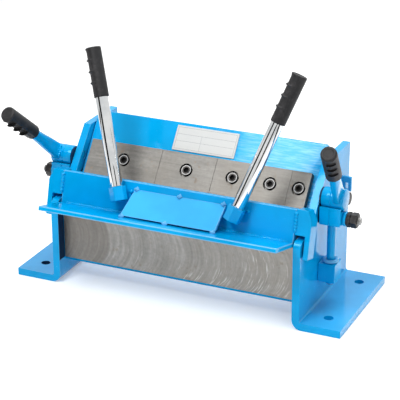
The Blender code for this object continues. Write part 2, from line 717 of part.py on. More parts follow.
def grip(name, holder, material, start, length, radius, bore_r, bore):
    """A round-ended handle grip along its holder's Z, bored for what it is pushed on."""
    end = start + length
    nose = radius / 4
    profile = ((0, start), (radius - EDGE_BREAK, start), (radius, start + EDGE_BREAK),
               (radius, end - nose), (radius - nose / 3, end - nose / 3), (radius - nose, end), (0, end))
    piece = add_piece(name, turned(profile), material, holder)
    cut(piece, rod(bore_r, start - CUT_OVER, start + bore, axis="Z", sides=ROUND_SIDES // 2))


def release_gear(side, rod_holder, holder, paint, black):
    """The rod under the block, with its guide block on the frame, the guide's ring and the lifting spring."""
    guide_low = GUIDE_TOP - GUIDE_HEIGHT
    shoulder_top = GUIDE_TOP - ROD_LIFT - ROD_SHOULDER_ROOM
    shoulder_low = shoulder_top - ROD_SHOULDER
    end = guide_low - ROD_BELOW_GUIDE
    round_end = ROD_R / 3
    profile = ((0, end), (ROD_R - round_end, end), (ROD_R, end + round_end), (ROD_R, shoulder_low),
               (ROD_SHOULDER_R, shoulder_low), (ROD_SHOULDER_R, shoulder_top), (ROD_R, shoulder_top),
               (ROD_R, ROD_TOP), (0, ROD_TOP))
    name = side_name(side)
    add_piece(name + "_release_rod", turned(profile, sides=ROUND_SIDES // 2), paint, rod_holder)
    centre = (side * ROD_X, ROD_Y)
    inner = FRAME_OUTER + FIT
    guide = add_piece(name + "_guide_block", block((side * inner, side * (inner + GUIDE_WIDTH)),
                                                   (ROD_Y - GUIDE_DEPTH / 2, ROD_Y + GUIDE_DEPTH / 2),
                                                   (guide_low, GUIDE_TOP)), paint, holder)
    cut(guide, rod(GUIDE_BORE_R, guide_low + GUIDE_FLOOR, GUIDE_TOP + CUT_OVER, centre, "Z"))
    cut(guide, rod(ROD_R + FIT, guide_low - CUT_OVER, GUIDE_TOP + CUT_OVER, centre, "Z"))
    ring_low = GUIDE_TOP + FIT
    ring = add_piece(name + "_guide_ring", rod(RING_R, ring_low, ring_low + RING, centre, "Z"), paint, holder)
    cut(ring, rod(ROD_R + FIT, ring_low - CUT_OVER, ring_low + RING + CUT_OVER, centre, "Z"))
    spring_low = guide_low + GUIDE_FLOOR + FIT
    sleeve = rod(ROD_R + FIT + SPRING_WALL, spring_low, shoulder_low - FIT, centre, "Z")
    spring = add_piece(name + "_release_spring", sleeve, black, holder)
    cut(spring, rod(ROD_R + FIT, spring_low - CUT_OVER, shoulder_low + CUT_OVER, centre, "Z"))


def bracket(side, holder, material):
    """A small slotted plate that stands out from the end frame over the pivot bolt."""
    inner = FRAME_OUTER + FIT
    low = PIVOT_Z + BRACKET_OVER_PIVOT
    front, back = PIVOT_Y - BRACKET_PLATE / 2, PIVOT_Y + BRACKET_PLATE / 2
    piece = add_piece(side_name(side) + "_bracket", block((side * inner, side * (inner + BRACKET_WIDTH)),
                                                          (front, back), (low, low + BRACKET_HEIGHT)),
                      material, holder)
    slot = inner + BRACKET_SLOT_IN
    slot_low = low + BRACKET_SLOT_EDGE
    cut(piece, block((side * (slot - BRACKET_SLOT / 2), side * (slot + BRACKET_SLOT / 2)),
                     (front - CUT_OVER, back + CUT_OVER), (slot_low, slot_low + BRACKET_SLOT_HEIGHT)))


# Folding leaf, in its own axes: -Y is out toward the front and Z up the web

def leaf(holder, material):
    """The web, the shelf that stiffens it and the gusset plate between them."""
    add_piece("leaf_bar", block((-LEAF_END, LEAF_END), (-LEAF_WEB, 0), (LEAF_GAP, LEAF_HEIGHT)), material,
              holder, EDGE_BREAK)
    shelf_half = FRAME_INNER - SHELF_END_SPACE
    shelf_back = LEAF_WEB + FIT
    add_piece("leaf_shelf", block((-shelf_half, shelf_half), (-shelf_back - SHELF_DEPTH, -shelf_back),
                                  (LEAF_GAP, LEAF_GAP + SHELF_PLATE)), material, holder)
    add_piece("leaf_gusset", gusset(), material, holder)


def gusset():
    """A slanted plate from near the web's top to the shelf, wider at its foot."""
    web = LEAF_WEB + FIT
    seat = LEAF_GAP + SHELF_PLATE + FIT
    top = LEAF_HEIGHT - GUSSET_TOP_DROP
    foot = LEAF_WEB + GUSSET_FOOT_OUT
    slope = math.atan2(top - seat, foot - web)
    top_inner = top - GUSSET_PLATE / math.cos(slope)
    foot_inner = foot - GUSSET_PLATE / math.sin(slope)
    outline = ((-web, top_inner), (-web, top), (-foot, seat), (-foot_inner, seat))
    mesh = prism(outline, GUSSET_OFFSET - GUSSET_TOP_HALF, GUSSET_OFFSET + GUSSET_TOP_HALF)
    widening = (GUSSET_FOOT_HALF - GUSSET_TOP_HALF) / (top - seat)
    for corner in mesh.verts:
        outward = math.copysign(1, corner.co.x - GUSSET_OFFSET)
        corner.co.x += outward * widening * (top - corner.co.z)
    return mesh


def leaf_ear(side, holder, material):
    """The end piece of the leaf: a head over the frame's front lip and a leg outside the frame."""
    inner = side * (LEAF_END + FIT)
    outer, leg_inner = side * EAR_OUTER, side * EAR_LEG_INNER
    shoulder = side * (EAR_OUTER - EAR_CHAMFER_WIDTH)
    outline = ((inner, EAR_NOTCH), (leg_inner, EAR_NOTCH), (leg_inner, -EAR_FOOT), (outer, -EAR_FOOT),
               (outer, LEAF_HEIGHT - EAR_CHAMFER_HEIGHT), (shoulder, LEAF_HEIGHT), (inner, LEAF_HEIGHT))
    ear = add_piece(side_name(side) + "_leaf_ear", prism(outline, -LEAF_WEB, EAR_DEPTH - LEAF_WEB, "Y"),
                    material, holder)
    cut(ear, rod(HINGE_PIN_R + FIT, leg_inner - side * EAR_SLOT / 2, outer - side * EAR_SKIN))


def hinge_pin(side, holder, material):
    """The pin in the ear's leg that turns in the end frame."""
    pin_end = side * (EAR_OUTER - EAR_SKIN - FIT)
    add_piece(side_name(side) + "_hinge_pin",
              rod(HINGE_PIN_R, side * (FRAME_INNER + FIT), pin_end), material, holder)


def handle(side, holder, paint, chrome, black):
    """Socket, rod and grip, in the axes of the handle: Z = 0 is where the bare rod leaves the socket."""
    name = side_name(side)
    bore_low = SOCKET_FLOOR - SOCKET_LENGTH
    hexagon = rod(SOCKET_R, -SOCKET_LENGTH, 0, axis="Z", sides=6)
    socket = add_piece(name + "_handle_socket", hexagon, paint, holder)
    cut(socket, rod(HANDLE_ROD_R + FIT, bore_low, CUT_OVER, axis="Z"))
    add_piece(name + "_handle_rod", rod(HANDLE_ROD_R, bore_low + FIT, ROD_BARE + ROD_IN_GRIP - FIT, axis="Z"),
              chrome, holder)
    grip(name + "_handle_grip", holder, black, ROD_BARE, GRIP_LENGTH, GRIP_R, HANDLE_ROD_R + FIT, ROD_IN_GRIP)


def print_motion():
    """The joints' places on the object, in metres, with their ranges, all with the rest pose at 0."""
    shift = -MACHINE_CENTRE_Y
    print("leaf hinge at Y, Z", BED_SETBACK + shift, BED_TOP, "turns to", math.degrees(LEAF_TURN), "about +X")
    print("beam pivot at Y, Z", PIVOT_Y + shift, PIVOT_Z, "turns to", math.degrees(BEAM_OPENING), "about -X")
    print("lever shafts at Y, Z", SHAFT_Y + shift, SHAFT_Z, "turn to", math.degrees(LEVER_TURN), "about -X")
    print("release rods at Y", ROD_Y + shift, "slide up to", ROD_LIFT)


def build_machine():
    clear_scene()
    paint, steel, chrome = blue_paint(), ground_steel(), bright_chrome()
    rubber, black, sheet = black_grip(), black_steel(), label_sheet()
    machine = make_holder("machine", None, (0, -MACHINE_CENTRE_Y, 0))
    leaf_axis = make_holder("leaf_axis", machine, (0, BED_SETBACK, BED_TOP), (-LEAF_LEAN, 0, 0))
    beam_axis = make_holder("beam_axis", machine, (0, PIVOT_Y, PIVOT_Z))
    finger_plane = make_holder("finger_plane", beam_axis, (0, FINGER_TOP_Y - PIVOT_Y, FINGER_TOP_Z - PIVOT_Z),
                               (-FINGER_LEAN, 0, 0))
    bed(machine, steel, paint)
    clamp_beam(finger_plane, paint)
    fingers(finger_plane, steel, black)
    label_plate(finger_plane, sheet)
    leaf(leaf_axis, paint)
    for side, lever_lean, handle_splay in ((-1, LEFT_LEVER_LEAN, LEFT_HANDLE_SPLAY),
                                           (1, RIGHT_LEVER_LEAN, RIGHT_HANDLE_SPLAY)):
        name = side_name(side)
        end_frame(side, machine, paint)
        pivot_bolt(side, machine, black)
        bracket(side, machine, paint)
        beam_arm(side, beam_axis, paint)
        clamp_stud(side, finger_plane, black)
        clamp_block(side, beam_axis, paint)
        rod_axis = make_holder(name + "_release_rod_axis", machine, (side * ROD_X, ROD_Y, 0))
        release_gear(side, rod_axis, machine, paint, black)
        lever_axis = make_holder(name + "_lever_axis", machine, (0, SHAFT_Y, SHAFT_Z))
        lever_hub(side, lever_axis, paint)
        arm_place = (side * (FRAME_OUTER + LEVER_OUT), HUB_Y - SHAFT_Y, HUB_Z - SHAFT_Z)
        arm_axis = make_holder(name + "_lever_arm_axis", lever_axis, arm_place,
                               (lever_lean, side * LEVER_SPLAY, 0))
        lever_arm(side, arm_axis, lever_axis, paint)
        grip(name + "_lever_grip", arm_axis, rubber, LEVER_LENGTH, LEVER_GRIP_LENGTH, LEVER_GRIP_R,
             LEVER_TANG_R + FIT, LEVER_TANG + FIT)
        leaf_ear(side, leaf_axis, paint)
        hinge_pin(side, leaf_axis, black)
        handle_x = GUSSET_OFFSET + side * (GUSSET_TOP_HALF + HANDLE_BESIDE_GUSSET)
        handle_place = (handle_x, -LEAF_WEB - HANDLE_OUT, LEAF_HEIGHT - HANDLE_DROP)
        handle_axis = make_holder(name + "_handle_axis", leaf_axis, handle_place,
                                  (-HANDLE_LEAN, side * handle_splay, 0))
        handle(side, handle_axis, paint, chrome, rubber)
    print_motion()


build_machine()
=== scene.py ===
"""Looks of the finger brake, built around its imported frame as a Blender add-on that runs as a script."""

import json
import math

import bmesh
import bpy
from bpy.props import FloatProperty, FloatVectorProperty, IntProperty, PointerProperty
from mathutils import Euler, Matrix, Vector


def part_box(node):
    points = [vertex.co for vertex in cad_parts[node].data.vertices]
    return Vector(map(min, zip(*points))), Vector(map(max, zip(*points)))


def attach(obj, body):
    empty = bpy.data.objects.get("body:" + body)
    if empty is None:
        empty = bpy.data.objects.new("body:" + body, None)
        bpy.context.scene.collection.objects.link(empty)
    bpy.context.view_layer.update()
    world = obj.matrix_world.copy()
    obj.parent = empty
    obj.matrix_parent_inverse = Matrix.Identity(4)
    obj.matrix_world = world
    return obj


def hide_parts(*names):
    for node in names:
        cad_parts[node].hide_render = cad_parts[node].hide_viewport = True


bl_info = {
    "name": "Finger brake looks",
    "version": (1, 0, 0),
    "blender": (4, 5, 0),
    "location": "View3D > Sidebar > Brake",
    "description": "Dresses the packed finger brake with paint, ground steel, welds, fasteners and grips",
    "category": "Object",
}

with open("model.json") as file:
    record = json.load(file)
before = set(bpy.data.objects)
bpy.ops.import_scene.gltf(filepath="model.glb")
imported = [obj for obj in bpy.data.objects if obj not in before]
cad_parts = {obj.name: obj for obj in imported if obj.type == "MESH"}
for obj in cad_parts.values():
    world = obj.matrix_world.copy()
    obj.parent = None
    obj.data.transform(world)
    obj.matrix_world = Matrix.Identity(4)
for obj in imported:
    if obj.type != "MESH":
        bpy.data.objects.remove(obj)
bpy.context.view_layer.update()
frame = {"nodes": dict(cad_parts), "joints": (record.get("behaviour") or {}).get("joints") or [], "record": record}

# How the tilted pieces lean, in radians
FINGER_LEAN = math.radians(37.5)
LEAF_LEAN = math.radians(15)
LEVER_LEANS = {-1: math.radians(49.5), 1: math.radians(44.2)}
LEVER_SPLAY = math.radians(10.8)
HANDLE_LEAN = math.radians(3.6)
HANDLE_SPLAYS = {-1: math.radians(18.9), 1: math.radians(18.7)}

MM = 0.001
MERGE = 0.002 * MM
SIDES = 64
SMALL_SIDES = 32
BAR_EDGE = 0.8 * MM
BEVEL_OVER = math.radians(32)
LEFT_AND_RIGHT = (-1, 1)
UP = Vector((0, 0, 1))


def looks():
    return bpy.context.scene.brake_looks


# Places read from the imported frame

def side_name(side):
    return "right" if side > 0 else "left"


def side_of(node):
    return 1 if node.startswith("right") else -1


def middle(node):
    low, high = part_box(node)
    return (low + high) / 2


def inner_x(node):
    """The X of a node's end that faces the middle of the machine."""
    low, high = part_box(node)
    return low.x if side_of(node) > 0 else high.x


def reach(node, axis):
    """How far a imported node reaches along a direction, as (lowest, highest)."""
    along = [vertex.co.dot(axis) for vertex in frame["nodes"][node].data.vertices]
    return min(along), max(along)


def body_of(node):
    for body, members in frame["record"]["behaviour"]["bodies"].items():
        if node in members:
            return body
    raise ValueError(node + " is on no body")


def joint_place(name):
    """(Y, Z) of a joint's axis."""
    for joint in frame["joints"]:
        if joint["name"] == name:
            return joint["pos_m"][1:]
    raise ValueError("no joint " + name)


def turn_of(node):
    """The rotation that lays a tilted node's own axes in the frame's axes."""
    side = side_of(node)
    if "handle" in node:
        tilt = Euler((-HANDLE_LEAN, side * HANDLE_SPLAYS[side], 0)).to_matrix()
        return Matrix.Rotation(-LEAF_LEAN, 3, "X") @ tilt
    if "lever_arm" in node or "lever_grip" in node:
        return Euler((LEVER_LEANS[side], side * LEVER_SPLAY, 0)).to_matrix()
    if node.startswith("leaf") or "leaf_ear" in node:
        return Matrix.Rotation(-LEAF_LEAN, 3, "X")
    return Matrix.Rotation(-FINGER_LEAN, 3, "X")


def out_and_up(node):
    """The directions out of a leaning node's front and up along it."""
    turn = turn_of(node)
    return turn @ Vector((0, -1, 0)), turn @ UP


def lifted(height):
    return Matrix.Translation((0, 0, height))


def aimed(start, direction):
    """A matrix that stands at a place with its Z along a direction."""
    return Matrix.Translation(start) @ UP.rotation_difference(Vector(direction)).to_matrix().to_4x4()


def along_axis(node, turn=None):
    """A matrix with its Z along a long tilted node from the node's lower end, and the node's length."""
    turn = turn or turn_of(node)
    axis = turn @ UP
    centre = middle(node)
    low, high = reach(node, axis)
    return Matrix.Translation(centre + axis * (low - centre.dot(axis))) @ turn.to_4x4(), high - low


def upright(node):
    """A matrix that stands at a round node's foot, and the node's radius and height."""
    low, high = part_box(node)
    centre = middle(node)
    return Matrix.Translation((centre.x, centre.y, low.z)), (high.x - low.x) / 2, high.z - low.z


def crosswise(node):
    """A matrix at a round node's inner end with its Z outward, and the node's radius and length."""
    low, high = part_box(node)
    centre = middle(node)
    place = aimed((inner_x(node), centre.y, centre.z), (side_of(node), 0, 0))
    return place, (high.z - low.z) / 2, high.x - low.x


# Shapes

def only(kind, items):
    return [item for item in items if isinstance(item, kind)]


def open_edges(mesh):
    return [edge for edge in mesh.edges if len(edge.link_faces) == 1]


def facing_out(mesh):
    """The bmesh with its faces' normals turned outward."""
    bmesh.ops.recalc_face_normals(mesh, faces=mesh.faces)
    return mesh


def written(name, mesh):
    """The mesh data of a bmesh, which is freed."""
    data = bpy.data.meshes.new(name)
    mesh.to_mesh(data)
    mesh.free()
    return data


def linked(name, data):
    item = bpy.data.objects.new(name, data)
    bpy.context.scene.collection.objects.link(item)
    return item


def copy_of(node):
    """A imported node's shape with its loose triangles merged into whole faces."""
    mesh = bmesh.new()
    mesh.from_mesh(frame["nodes"][node].data)
    bmesh.ops.remove_doubles(mesh, verts=mesh.verts, dist=MERGE)
    bmesh.ops.dissolve_limit(mesh, angle_limit=math.radians(1), verts=mesh.verts, edges=mesh.edges)
    return mesh


def moved(mesh, matrix):
    bmesh.ops.transform(mesh, matrix=matrix, verts=mesh.verts)
    return mesh


def joined(*meshes):
    """One bmesh that holds the shells of several."""
    whole = bmesh.new()
    for mesh in meshes:
        data = written("shell", mesh)
        whole.from_mesh(data)
        bpy.data.meshes.remove(data)
    return whole


def cut(mesh, place, normal, drop=True):
    """Cuts along a plane. What lies beyond it is dropped and the cut closed, or both sides are kept."""
    made = bmesh.ops.bisect_plane(mesh, geom=mesh.verts[:] + mesh.edges[:] + mesh.faces[:], dist=MERGE,
                                  plane_co=place, plane_no=normal, clear_outer=drop)
    if drop:
        bmesh.ops.holes_fill(mesh, edges=only(bmesh.types.BMEdge, made["geom_cut"]))


def extruded(mesh, edges):
    """The corners and edges of a new rim that is grown from a rim."""
    grown = bmesh.ops.extrude_edge_only(mesh, edges=edges)["geom"]
    return only(bmesh.types.BMVert, grown), only(bmesh.types.BMEdge, grown)


def turned(profile, matrix=None, steps=SIDES):
    """A solid of revolution about Z from (radius, height) pairs."""
    mesh = bmesh.new()
    corners = [mesh.verts.new((radius, 0, height)) for radius, height in profile]
    edges = [mesh.edges.new(pair) for pair in zip(corners, corners[1:])]
    bmesh.ops.spin(mesh, geom=corners + edges, axis=(0, 0, 1), cent=(0, 0, 0), steps=steps,
                   angle=math.tau, use_merge=True)
    bmesh.ops.remove_doubles(mesh, verts=mesh.verts, dist=MERGE)
    mesh = facing_out(mesh)
    return moved(mesh, matrix) if matrix else mesh


def broken_edges(radius, foot, top, edge):
    """The outline of a turned surface with both edges broken, from its foot up."""
    return [(radius - edge, foot), (radius - edge * 0.3, foot + edge * 0.3), (radius, foot + edge),
            (radius, top - edge), (radius - edge * 0.3, top - edge * 0.3), (radius - edge, top)]


def round_bar(radius, length, edge):
    return [(0, 0), *broken_edges(radius, 0, length, edge), (0, length)]


def hexagon(radius, length, bore=0):
    """A nut or bolt head about Z: corners turned down on both faces, and a ring of faces round a bore."""
    chamfers, slope, turned_down, face_share = 24, 1.7, 0.985, 0.86
    flat = radius * math.cos(math.pi / 6) * turned_down
    mesh = bmesh.new()
    bmesh.ops.create_cone(mesh, cap_ends=True, segments=6, radius1=radius, radius2=radius, depth=length,
                          matrix=lifted(length / 2))
    for end, way in ((0, -1), (length, 1)):
        for step in range(chamfers):
            angle = math.tau * (step + 0.5) / chamfers
            outward = Vector((math.cos(angle), math.sin(angle), 0))
            cut(mesh, outward * flat + UP * end, outward + UP * way * slope)
    for end in (0, length) if bore else ():
        caps = [face for face in mesh.faces if abs(abs(face.normal.z) - 1) < 0.001
                and abs(face.calc_center_median().z - end) < MERGE]
        bmesh.ops.inset_region(mesh, faces=caps, thickness=radius * face_share - bore, depth=0)
        for corner in {corner for face in caps for corner in face.verts}:
            corner.co.xy = corner.co.xy.normalized() * bore
    return facing_out(mesh)


def helix(mesh, faces, turns, steps, rise):
    """Sweeps a section's faces up a helix about Z."""
    bmesh.ops.spin(mesh, geom=faces, axis=(0, 0, 1), cent=(0, 0, 0), angle=math.tau * turns,
                   steps=turns * steps, dvec=(0, 0, rise / (turns * steps)))
    return facing_out(mesh)


def thread(radius, pitch, depth, length):
    """A helical ridge about Z on a bar of the given radius."""
    mesh = bmesh.new()
    foot = radius - depth * 1.2
    section = ((foot, 0), (radius, 0.45), (radius, 0.55), (foot, 1))
    face = mesh.faces.new([mesh.verts.new((out, 0, pitch * share)) for out, share in section])
    turns = max(1, int(length / pitch) - 1)
    return helix(mesh, [face], turns, SMALL_SIDES, pitch * turns)


def coil(radius, wire, height, turns=4):
    """A coil spring about Z from its foot."""
    mesh = bmesh.new()
    section = Matrix.Translation((radius, 0, wire)) @ Matrix.Rotation(math.radians(90), 4, "X")
    circle = bmesh.ops.create_circle(mesh, cap_ends=True, radius=wire, segments=10, matrix=section)
    faces = list({face for corner in circle["verts"] for face in corner.link_faces})
    return helix(mesh, faces, turns, 24, height - 2 * wire)


def lofted(rings):
    """A closed skin about Z through rings of (height, half size along X, half size along Y, squareness)."""
    mesh = bmesh.new()
    loops = []
    for height, along_x, along_y, square in rings:
        loop = []
        for step in range(SMALL_SIDES):
            angle = math.tau * step / SMALL_SIDES
            on_circle = (math.cos(angle), math.sin(angle))
            flat = [math.copysign(abs(part) ** (2 / square), part) for part in on_circle]
            loop.append(mesh.verts.new((along_x * flat[0], along_y * flat[1], height)))
        loops.append(loop)
    for low, high in zip(loops, loops[1:]):
        for step in range(SMALL_SIDES):
            following = (step + 1) % SMALL_SIDES
            mesh.faces.new((low[step], low[following], high[following], high[step]))
    mesh.faces.new(loops[0])
    mesh.faces.new(loops[-1])
    return facing_out(mesh)


def weld_bead(start, end, radius, pitch, seed):
    """A rippled weld bead between two places, thin at both ends."""
    run = Vector(end) - Vector(start)
    ripples = run.length / pitch
    rings = max(4, round(ripples * 4))
    tip, growth = 0.3, 0.3
    last = tip
    mesh = bmesh.new()
    ring = bmesh.ops.create_circle(mesh, cap_ends=True, radius=radius * tip, segments=10)["verts"]
    for step in range(1, rings + 1):
        share = step / rings
        ripple = 0.80 + 0.20 * math.cos(math.tau * share * ripples) + 0.05 * math.sin(share * 23 + seed * 7)
        size = ripple * min(1, growth * step + tip, growth * (rings - step) + tip)
        edges = {edge for corner in ring for edge in corner.link_edges if edge.other_vert(corner) in ring}
        ring = extruded(mesh, list(edges))[0]
        bmesh.ops.translate(mesh, verts=ring, vec=(0, 0, run.length / rings))
        bmesh.ops.scale(mesh, verts=ring, vec=(size / last, size / last, 1))
        last = size
    bmesh.ops.holes_fill(mesh, edges=open_edges(mesh))
    return moved(facing_out(mesh), aimed(start, run))


# Shader maths

class Wire:
    """An output socket of a tree's nodes, which can be used in sums."""

    def __init__(self, tree, socket):
        self.tree = tree
        self.socket = socket

    def __add__(self, other):
        return self.tree.maths("ADD", self, other)

    def __radd__(self, other):
        return self.tree.maths("ADD", other, self)

    def __sub__(self, other):
        return self.tree.maths("SUBTRACT", self, other)

    def __rsub__(self, other):
        return self.tree.maths("SUBTRACT", other, self)

    def __mul__(self, other):
        return self.tree.maths("MULTIPLY", self, other)

    def __rmul__(self, other):
        return self.tree.maths("MULTIPLY", other, self)

    def clear(self, low, high):
        """0 below low and 1 above high, with a smooth step between."""
        return self.tree.node("ShaderNodeMapRange", {"interpolation_type": "SMOOTHSTEP"},
                              {"Value": self, "From Min": low, "From Max": high}).out("Result")


class Node:
    """A shader node whose outputs come as wires."""

    def __init__(self, tree, node):
        self.tree = tree
        self.node = node

    def out(self, name):
        return Wire(self.tree, self.node.outputs[name])


class Tree:
    """A node tree and the one way to add a node to it."""

    def __init__(self, tree):
        self.tree = tree

    def node(self, kind, settings, sockets):
        made = self.tree.nodes.new(kind)
        for key, value in settings.items():
            if key == "stops":
                self.set_stops(made.color_ramp, value)
            else:
                setattr(made, key, value)
        for key, value in sockets.items():
            self.feed(made.inputs[key], value)
        return Node(self, made)

    def feed(self, socket, value):
        if isinstance(value, Wire):
            self.tree.links.new(value.socket, socket)
        else:
            socket.default_value = value

    def set_stops(self, ramp, stops):
        while len(ramp.elements) < len(stops):
            ramp.elements.new(0.5)
        for element, (position, colour) in zip(ramp.elements, stops):
            element.position = position
            element.color = (*colour, 1)

    def maths(self, operation, first, second):
        return self.node("ShaderNodeMath", {"operation": operation}, {0: first, 1: second}).out("Value")

    def seen(self):
        """1 where the camera, gloss or glass looks, and 0 for light."""
        path = self.node("ShaderNodeLightPath", {}, {})
        seen = self.maths("MAXIMUM", path.out("Is Camera Ray"), path.out("Is Glossy Ray"))
        return self.maths("MAXIMUM", seen, path.out("Is Transmission Ray"))


class Sheet(Tree):
    """A material's node tree, with its Principled shader and its Object coordinates."""

    def __init__(self, name):
        self.material = bpy.data.materials.new(name)
        self.material.use_nodes = True
        super().__init__(self.material.node_tree)
        self.shader = self.tree.nodes["Principled BSDF"]
        self.place = self.node("ShaderNodeTexCoord", {}, {}).out("Object")

    def mix(self, share, first, second):
        """The first colour where share is 0 and the second where it is 1."""
        colours = [value if isinstance(value, Wire) else (*value, 1) for value in (first, second)]
        return self.node("ShaderNodeMix", {"data_type": "RGBA"},
                         {0: share, 6: colours[0], 7: colours[1]}).out(2)

    def stretched(self, scale, turn=(0, 0, 0), place=None):
        """Object coordinates scaled apart along the axes, after a turn."""
        return self.node("ShaderNodeMapping", {}, {"Vector": place or self.place, "Scale": scale,
                                                   "Rotation": turn}).out("Vector")

    def parts(self):
        return self.node("ShaderNodeSeparateXYZ", {}, {"Vector": self.place})

    def milled(self, radius, height):
        """Object coordinates whose X follows the arcs that a face mill leaves, and that X."""
        parts = self.parts()
        rise = parts.out("Z") - height
        across = parts.out("X") - self.maths("SQRT", radius * radius - rise * rise, 0.0)
        place = self.node("ShaderNodeCombineXYZ", {}, {"X": across, "Y": parts.out("Y"), "Z": parts.out("Z")})
        return place.out("Vector"), across

    def noise(self, scale, detail=3, rough=0.5, vector=None, distortion=0):
        return self.node("ShaderNodeTexNoise", {}, {"Vector": vector or self.place, "Scale": scale,
                                                    "Detail": detail, "Roughness": rough,
                                                    "Distortion": distortion}).out("Fac")

    def cells(self, scale):
        return self.node("ShaderNodeTexVoronoi", {}, {"Vector": self.place, "Scale": scale}).out("Distance")

    def bump(self, height, strength, distance):
        return self.node("ShaderNodeBump", {}, {"Height": height, "Strength": strength,
                                                "Distance": distance}).out("Normal")

    def finish(self, **sockets):
        """Sets the shader's sockets, named with underscores for spaces, and returns the material."""
        for key, value in sockets.items():
            plain = not isinstance(value, Wire) and hasattr(value, "__len__") and len(value) == 3
            self.feed(self.shader.inputs[key.replace("_", " ")], (*value, 1) if plain else value)
        return self.material


# Materials

# The pale blue that paint is paled toward as painted sheen and painted highlight
SHEEN_BLUE = (0.24, 0.50, 0.72)
DUST_BLUE = (0.20, 0.66, 0.95)
# The pale blue of painted glare laid in streaks
GLARE_STREAK_BLUE = (0.40, 0.70, 0.86)
STAIN_BROWN = (0.36, 0.325, 0.275)
UNMILLED_BROWN = (0.13, 0.11, 0.09)
SCRAPED_STEEL = (0.72, 0.71, 0.68)
RUST_BROWN = (0.20, 0.145, 0.10)


def scaled(colour, share):
    return tuple(part * share for part in colour)


def blended(first, second, share):
    return tuple(part * (1 - share) + share * other for part, other in zip(first, second))


def speckled(name, grain, dark, pale, rough, relief=(0.2, 0.03 * MM), **sockets):
    """A finish whose colour, roughness and relief follow one fine noise."""
    sheet = Sheet(name)
    cloud = sheet.noise(*grain)
    return sheet.finish(Base_Color=sheet.mix(cloud, dark, pale), Roughness=rough[0] + rough[1] * cloud,
                        Normal=sheet.bump(cloud, *relief), **sockets)


def blue_paint(name, sheen=0, glare_streak=0):
    """Bright blue gloss paint with a little orange peel, dust and uneven cover. It can be paled toward pale blue
    as painted sheen and highlight, and can carry painted glare in streaks over the right part.
    """
    sheet = Sheet(name)
    blue = blended(looks().paint, SHEEN_BLUE, sheen)
    cloud = sheet.noise(14, 3, 0.55).clear(0.36, 0.66)
    dust = sheet.noise(420, 2, 0.6).clear(0.66, 0.80) * sheet.noise(26, 2).clear(0.42, 0.62)
    colour = sheet.mix(dust * 0.6, sheet.mix(cloud, scaled(blue, 0.86), blue), blended(blue, DUST_BLUE, 0.3))
    # Painted glare: pale streaks over the right part of the beam, where light reflects
    if glare_streak:
        lines = sheet.noise(1, 4, 0.65, sheet.stretched((40, 420, 420))).clear(0.40, 0.70)
        rightward = sheet.parts().out("X").clear(-0.03, 0.13)
        colour = sheet.mix(lines * rightward * glare_streak, colour, GLARE_STREAK_BLUE)
    peel = sheet.noise(300, 2, 0.5)
    wave = sheet.noise(1, 3, 0.55, sheet.stretched((26, 130, 130)))
    return sheet.finish(Base_Color=colour, Roughness=0.11 + 0.06 * cloud + 0.25 * dust,
                        Normal=sheet.bump(peel * 0.25 + wave, 0.42, 0.25 * MM), Specular_IOR_Level=0.5,
                        Specular_Tint=(0.12, 0.32, 0.48), Coat_Weight=0.12, Coat_Roughness=0.06)


def ground_steel(name, grain, turn=(0, 0, 0), rust=0.4, level=1.0, mill=None):
    """Bare ground steel: fine marks along one way or in arcs, cloudy patches and a few stains.

    A mill is given as the radius of its arcs, their middle's height and the X where they end on the left.
    """
    sheet = Sheet(name)
    place, across = sheet.milled(*mill[:2]) if mill else (None, None)
    marks = sheet.noise(1, 2, 0.6, sheet.stretched(grain, turn, place))
    coarse = sheet.noise(1, 2, 0.5, sheet.stretched(scaled(grain, 0.3), turn, place))
    cloud = sheet.noise(23, 4, 0.6, distortion=0.3)
    speck = sheet.noise(260, 3, 0.7)
    patch = sheet.noise(7, 2, 0.5).clear(0.40, 0.62)
    steel = scaled(looks().steel, level)
    stops = ((0.30, scaled(steel, 0.55)), (0.5, steel), (0.70, scaled(steel, 1.55)))
    tone = sheet.node("ShaderNodeValToRGB", {"stops": stops},
                      {"Fac": marks * 0.32 + coarse * 0.20 + cloud * 0.28 + speck * 0.2}).out("Color")
    colour = sheet.mix(patch * 0.35, tone, scaled(STAIN_BROWN, level))
    if mill:
        cleaned = across.clear(mill[2] - 3 * MM, mill[2] + 2 * MM)
        colour = sheet.mix(cleaned, sheet.mix(0.42, colour, scaled(UNMILLED_BROWN, level)), colour)
        scrape = sheet.noise(1, 3, 0.6, sheet.stretched((330, 330, 38), (0, 0, 0), place)).clear(0.52, 0.72)
        window = sheet.noise(16, 2, 0.5).clear(0.44, 0.60) * cleaned
        colour = sheet.mix(scrape * window * 0.6, colour, SCRAPED_STEEL)
    freckle = sheet.noise(140, 3, 0.6).clear(0.58, 0.72) * sheet.noise(24, 2).clear(0.42, 0.6) * rust
    relief = marks + coarse * 0.6 + cloud * 0.3 + speck * 0.7
    return sheet.finish(Base_Color=sheet.mix(freckle, colour, RUST_BROWN),
                        Roughness=0.34 + 0.22 * cloud + 0.10 * marks + 0.2 * freckle,
                        Normal=sheet.bump(relief, 0.5, 0.05 * MM), Metallic=0.92 - 0.5 * freckle,
                        Specular_IOR_Level=0.5)


def bed_steel(name):
    """Ground steel with a mill's arcs across the bed bar's front."""
    mill = (48 * MM, middle("bed_bar").z - 2 * MM, -141 * MM)
    return ground_steel(name, (340, 340, 18), level=0.79, mill=mill)


def bright_chrome(name):
    """Polished plate with faint drawn lines and finger marks."""
    sheet = Sheet(name)
    smear = sheet.noise(38, 3, 0.6)
    colour = sheet.mix(smear.clear(0.35, 0.7), (0.60, 0.62, 0.63), (0.74, 0.75, 0.75))
    return sheet.finish(Base_Color=colour, Metallic=1.0, Roughness=0.02 + 0.05 * smear,
                        Normal=sheet.bump(sheet.noise(160, 2, 0.5), 0.04, 0.01 * MM))


def bright_plating(name):
    """Dull bright plating on the threaded studs."""
    return speckled(name, (240, 3, 0.6), (0.20, 0.20, 0.195), (0.34, 0.34, 0.33), (0.26, 0.2), Metallic=1.0)


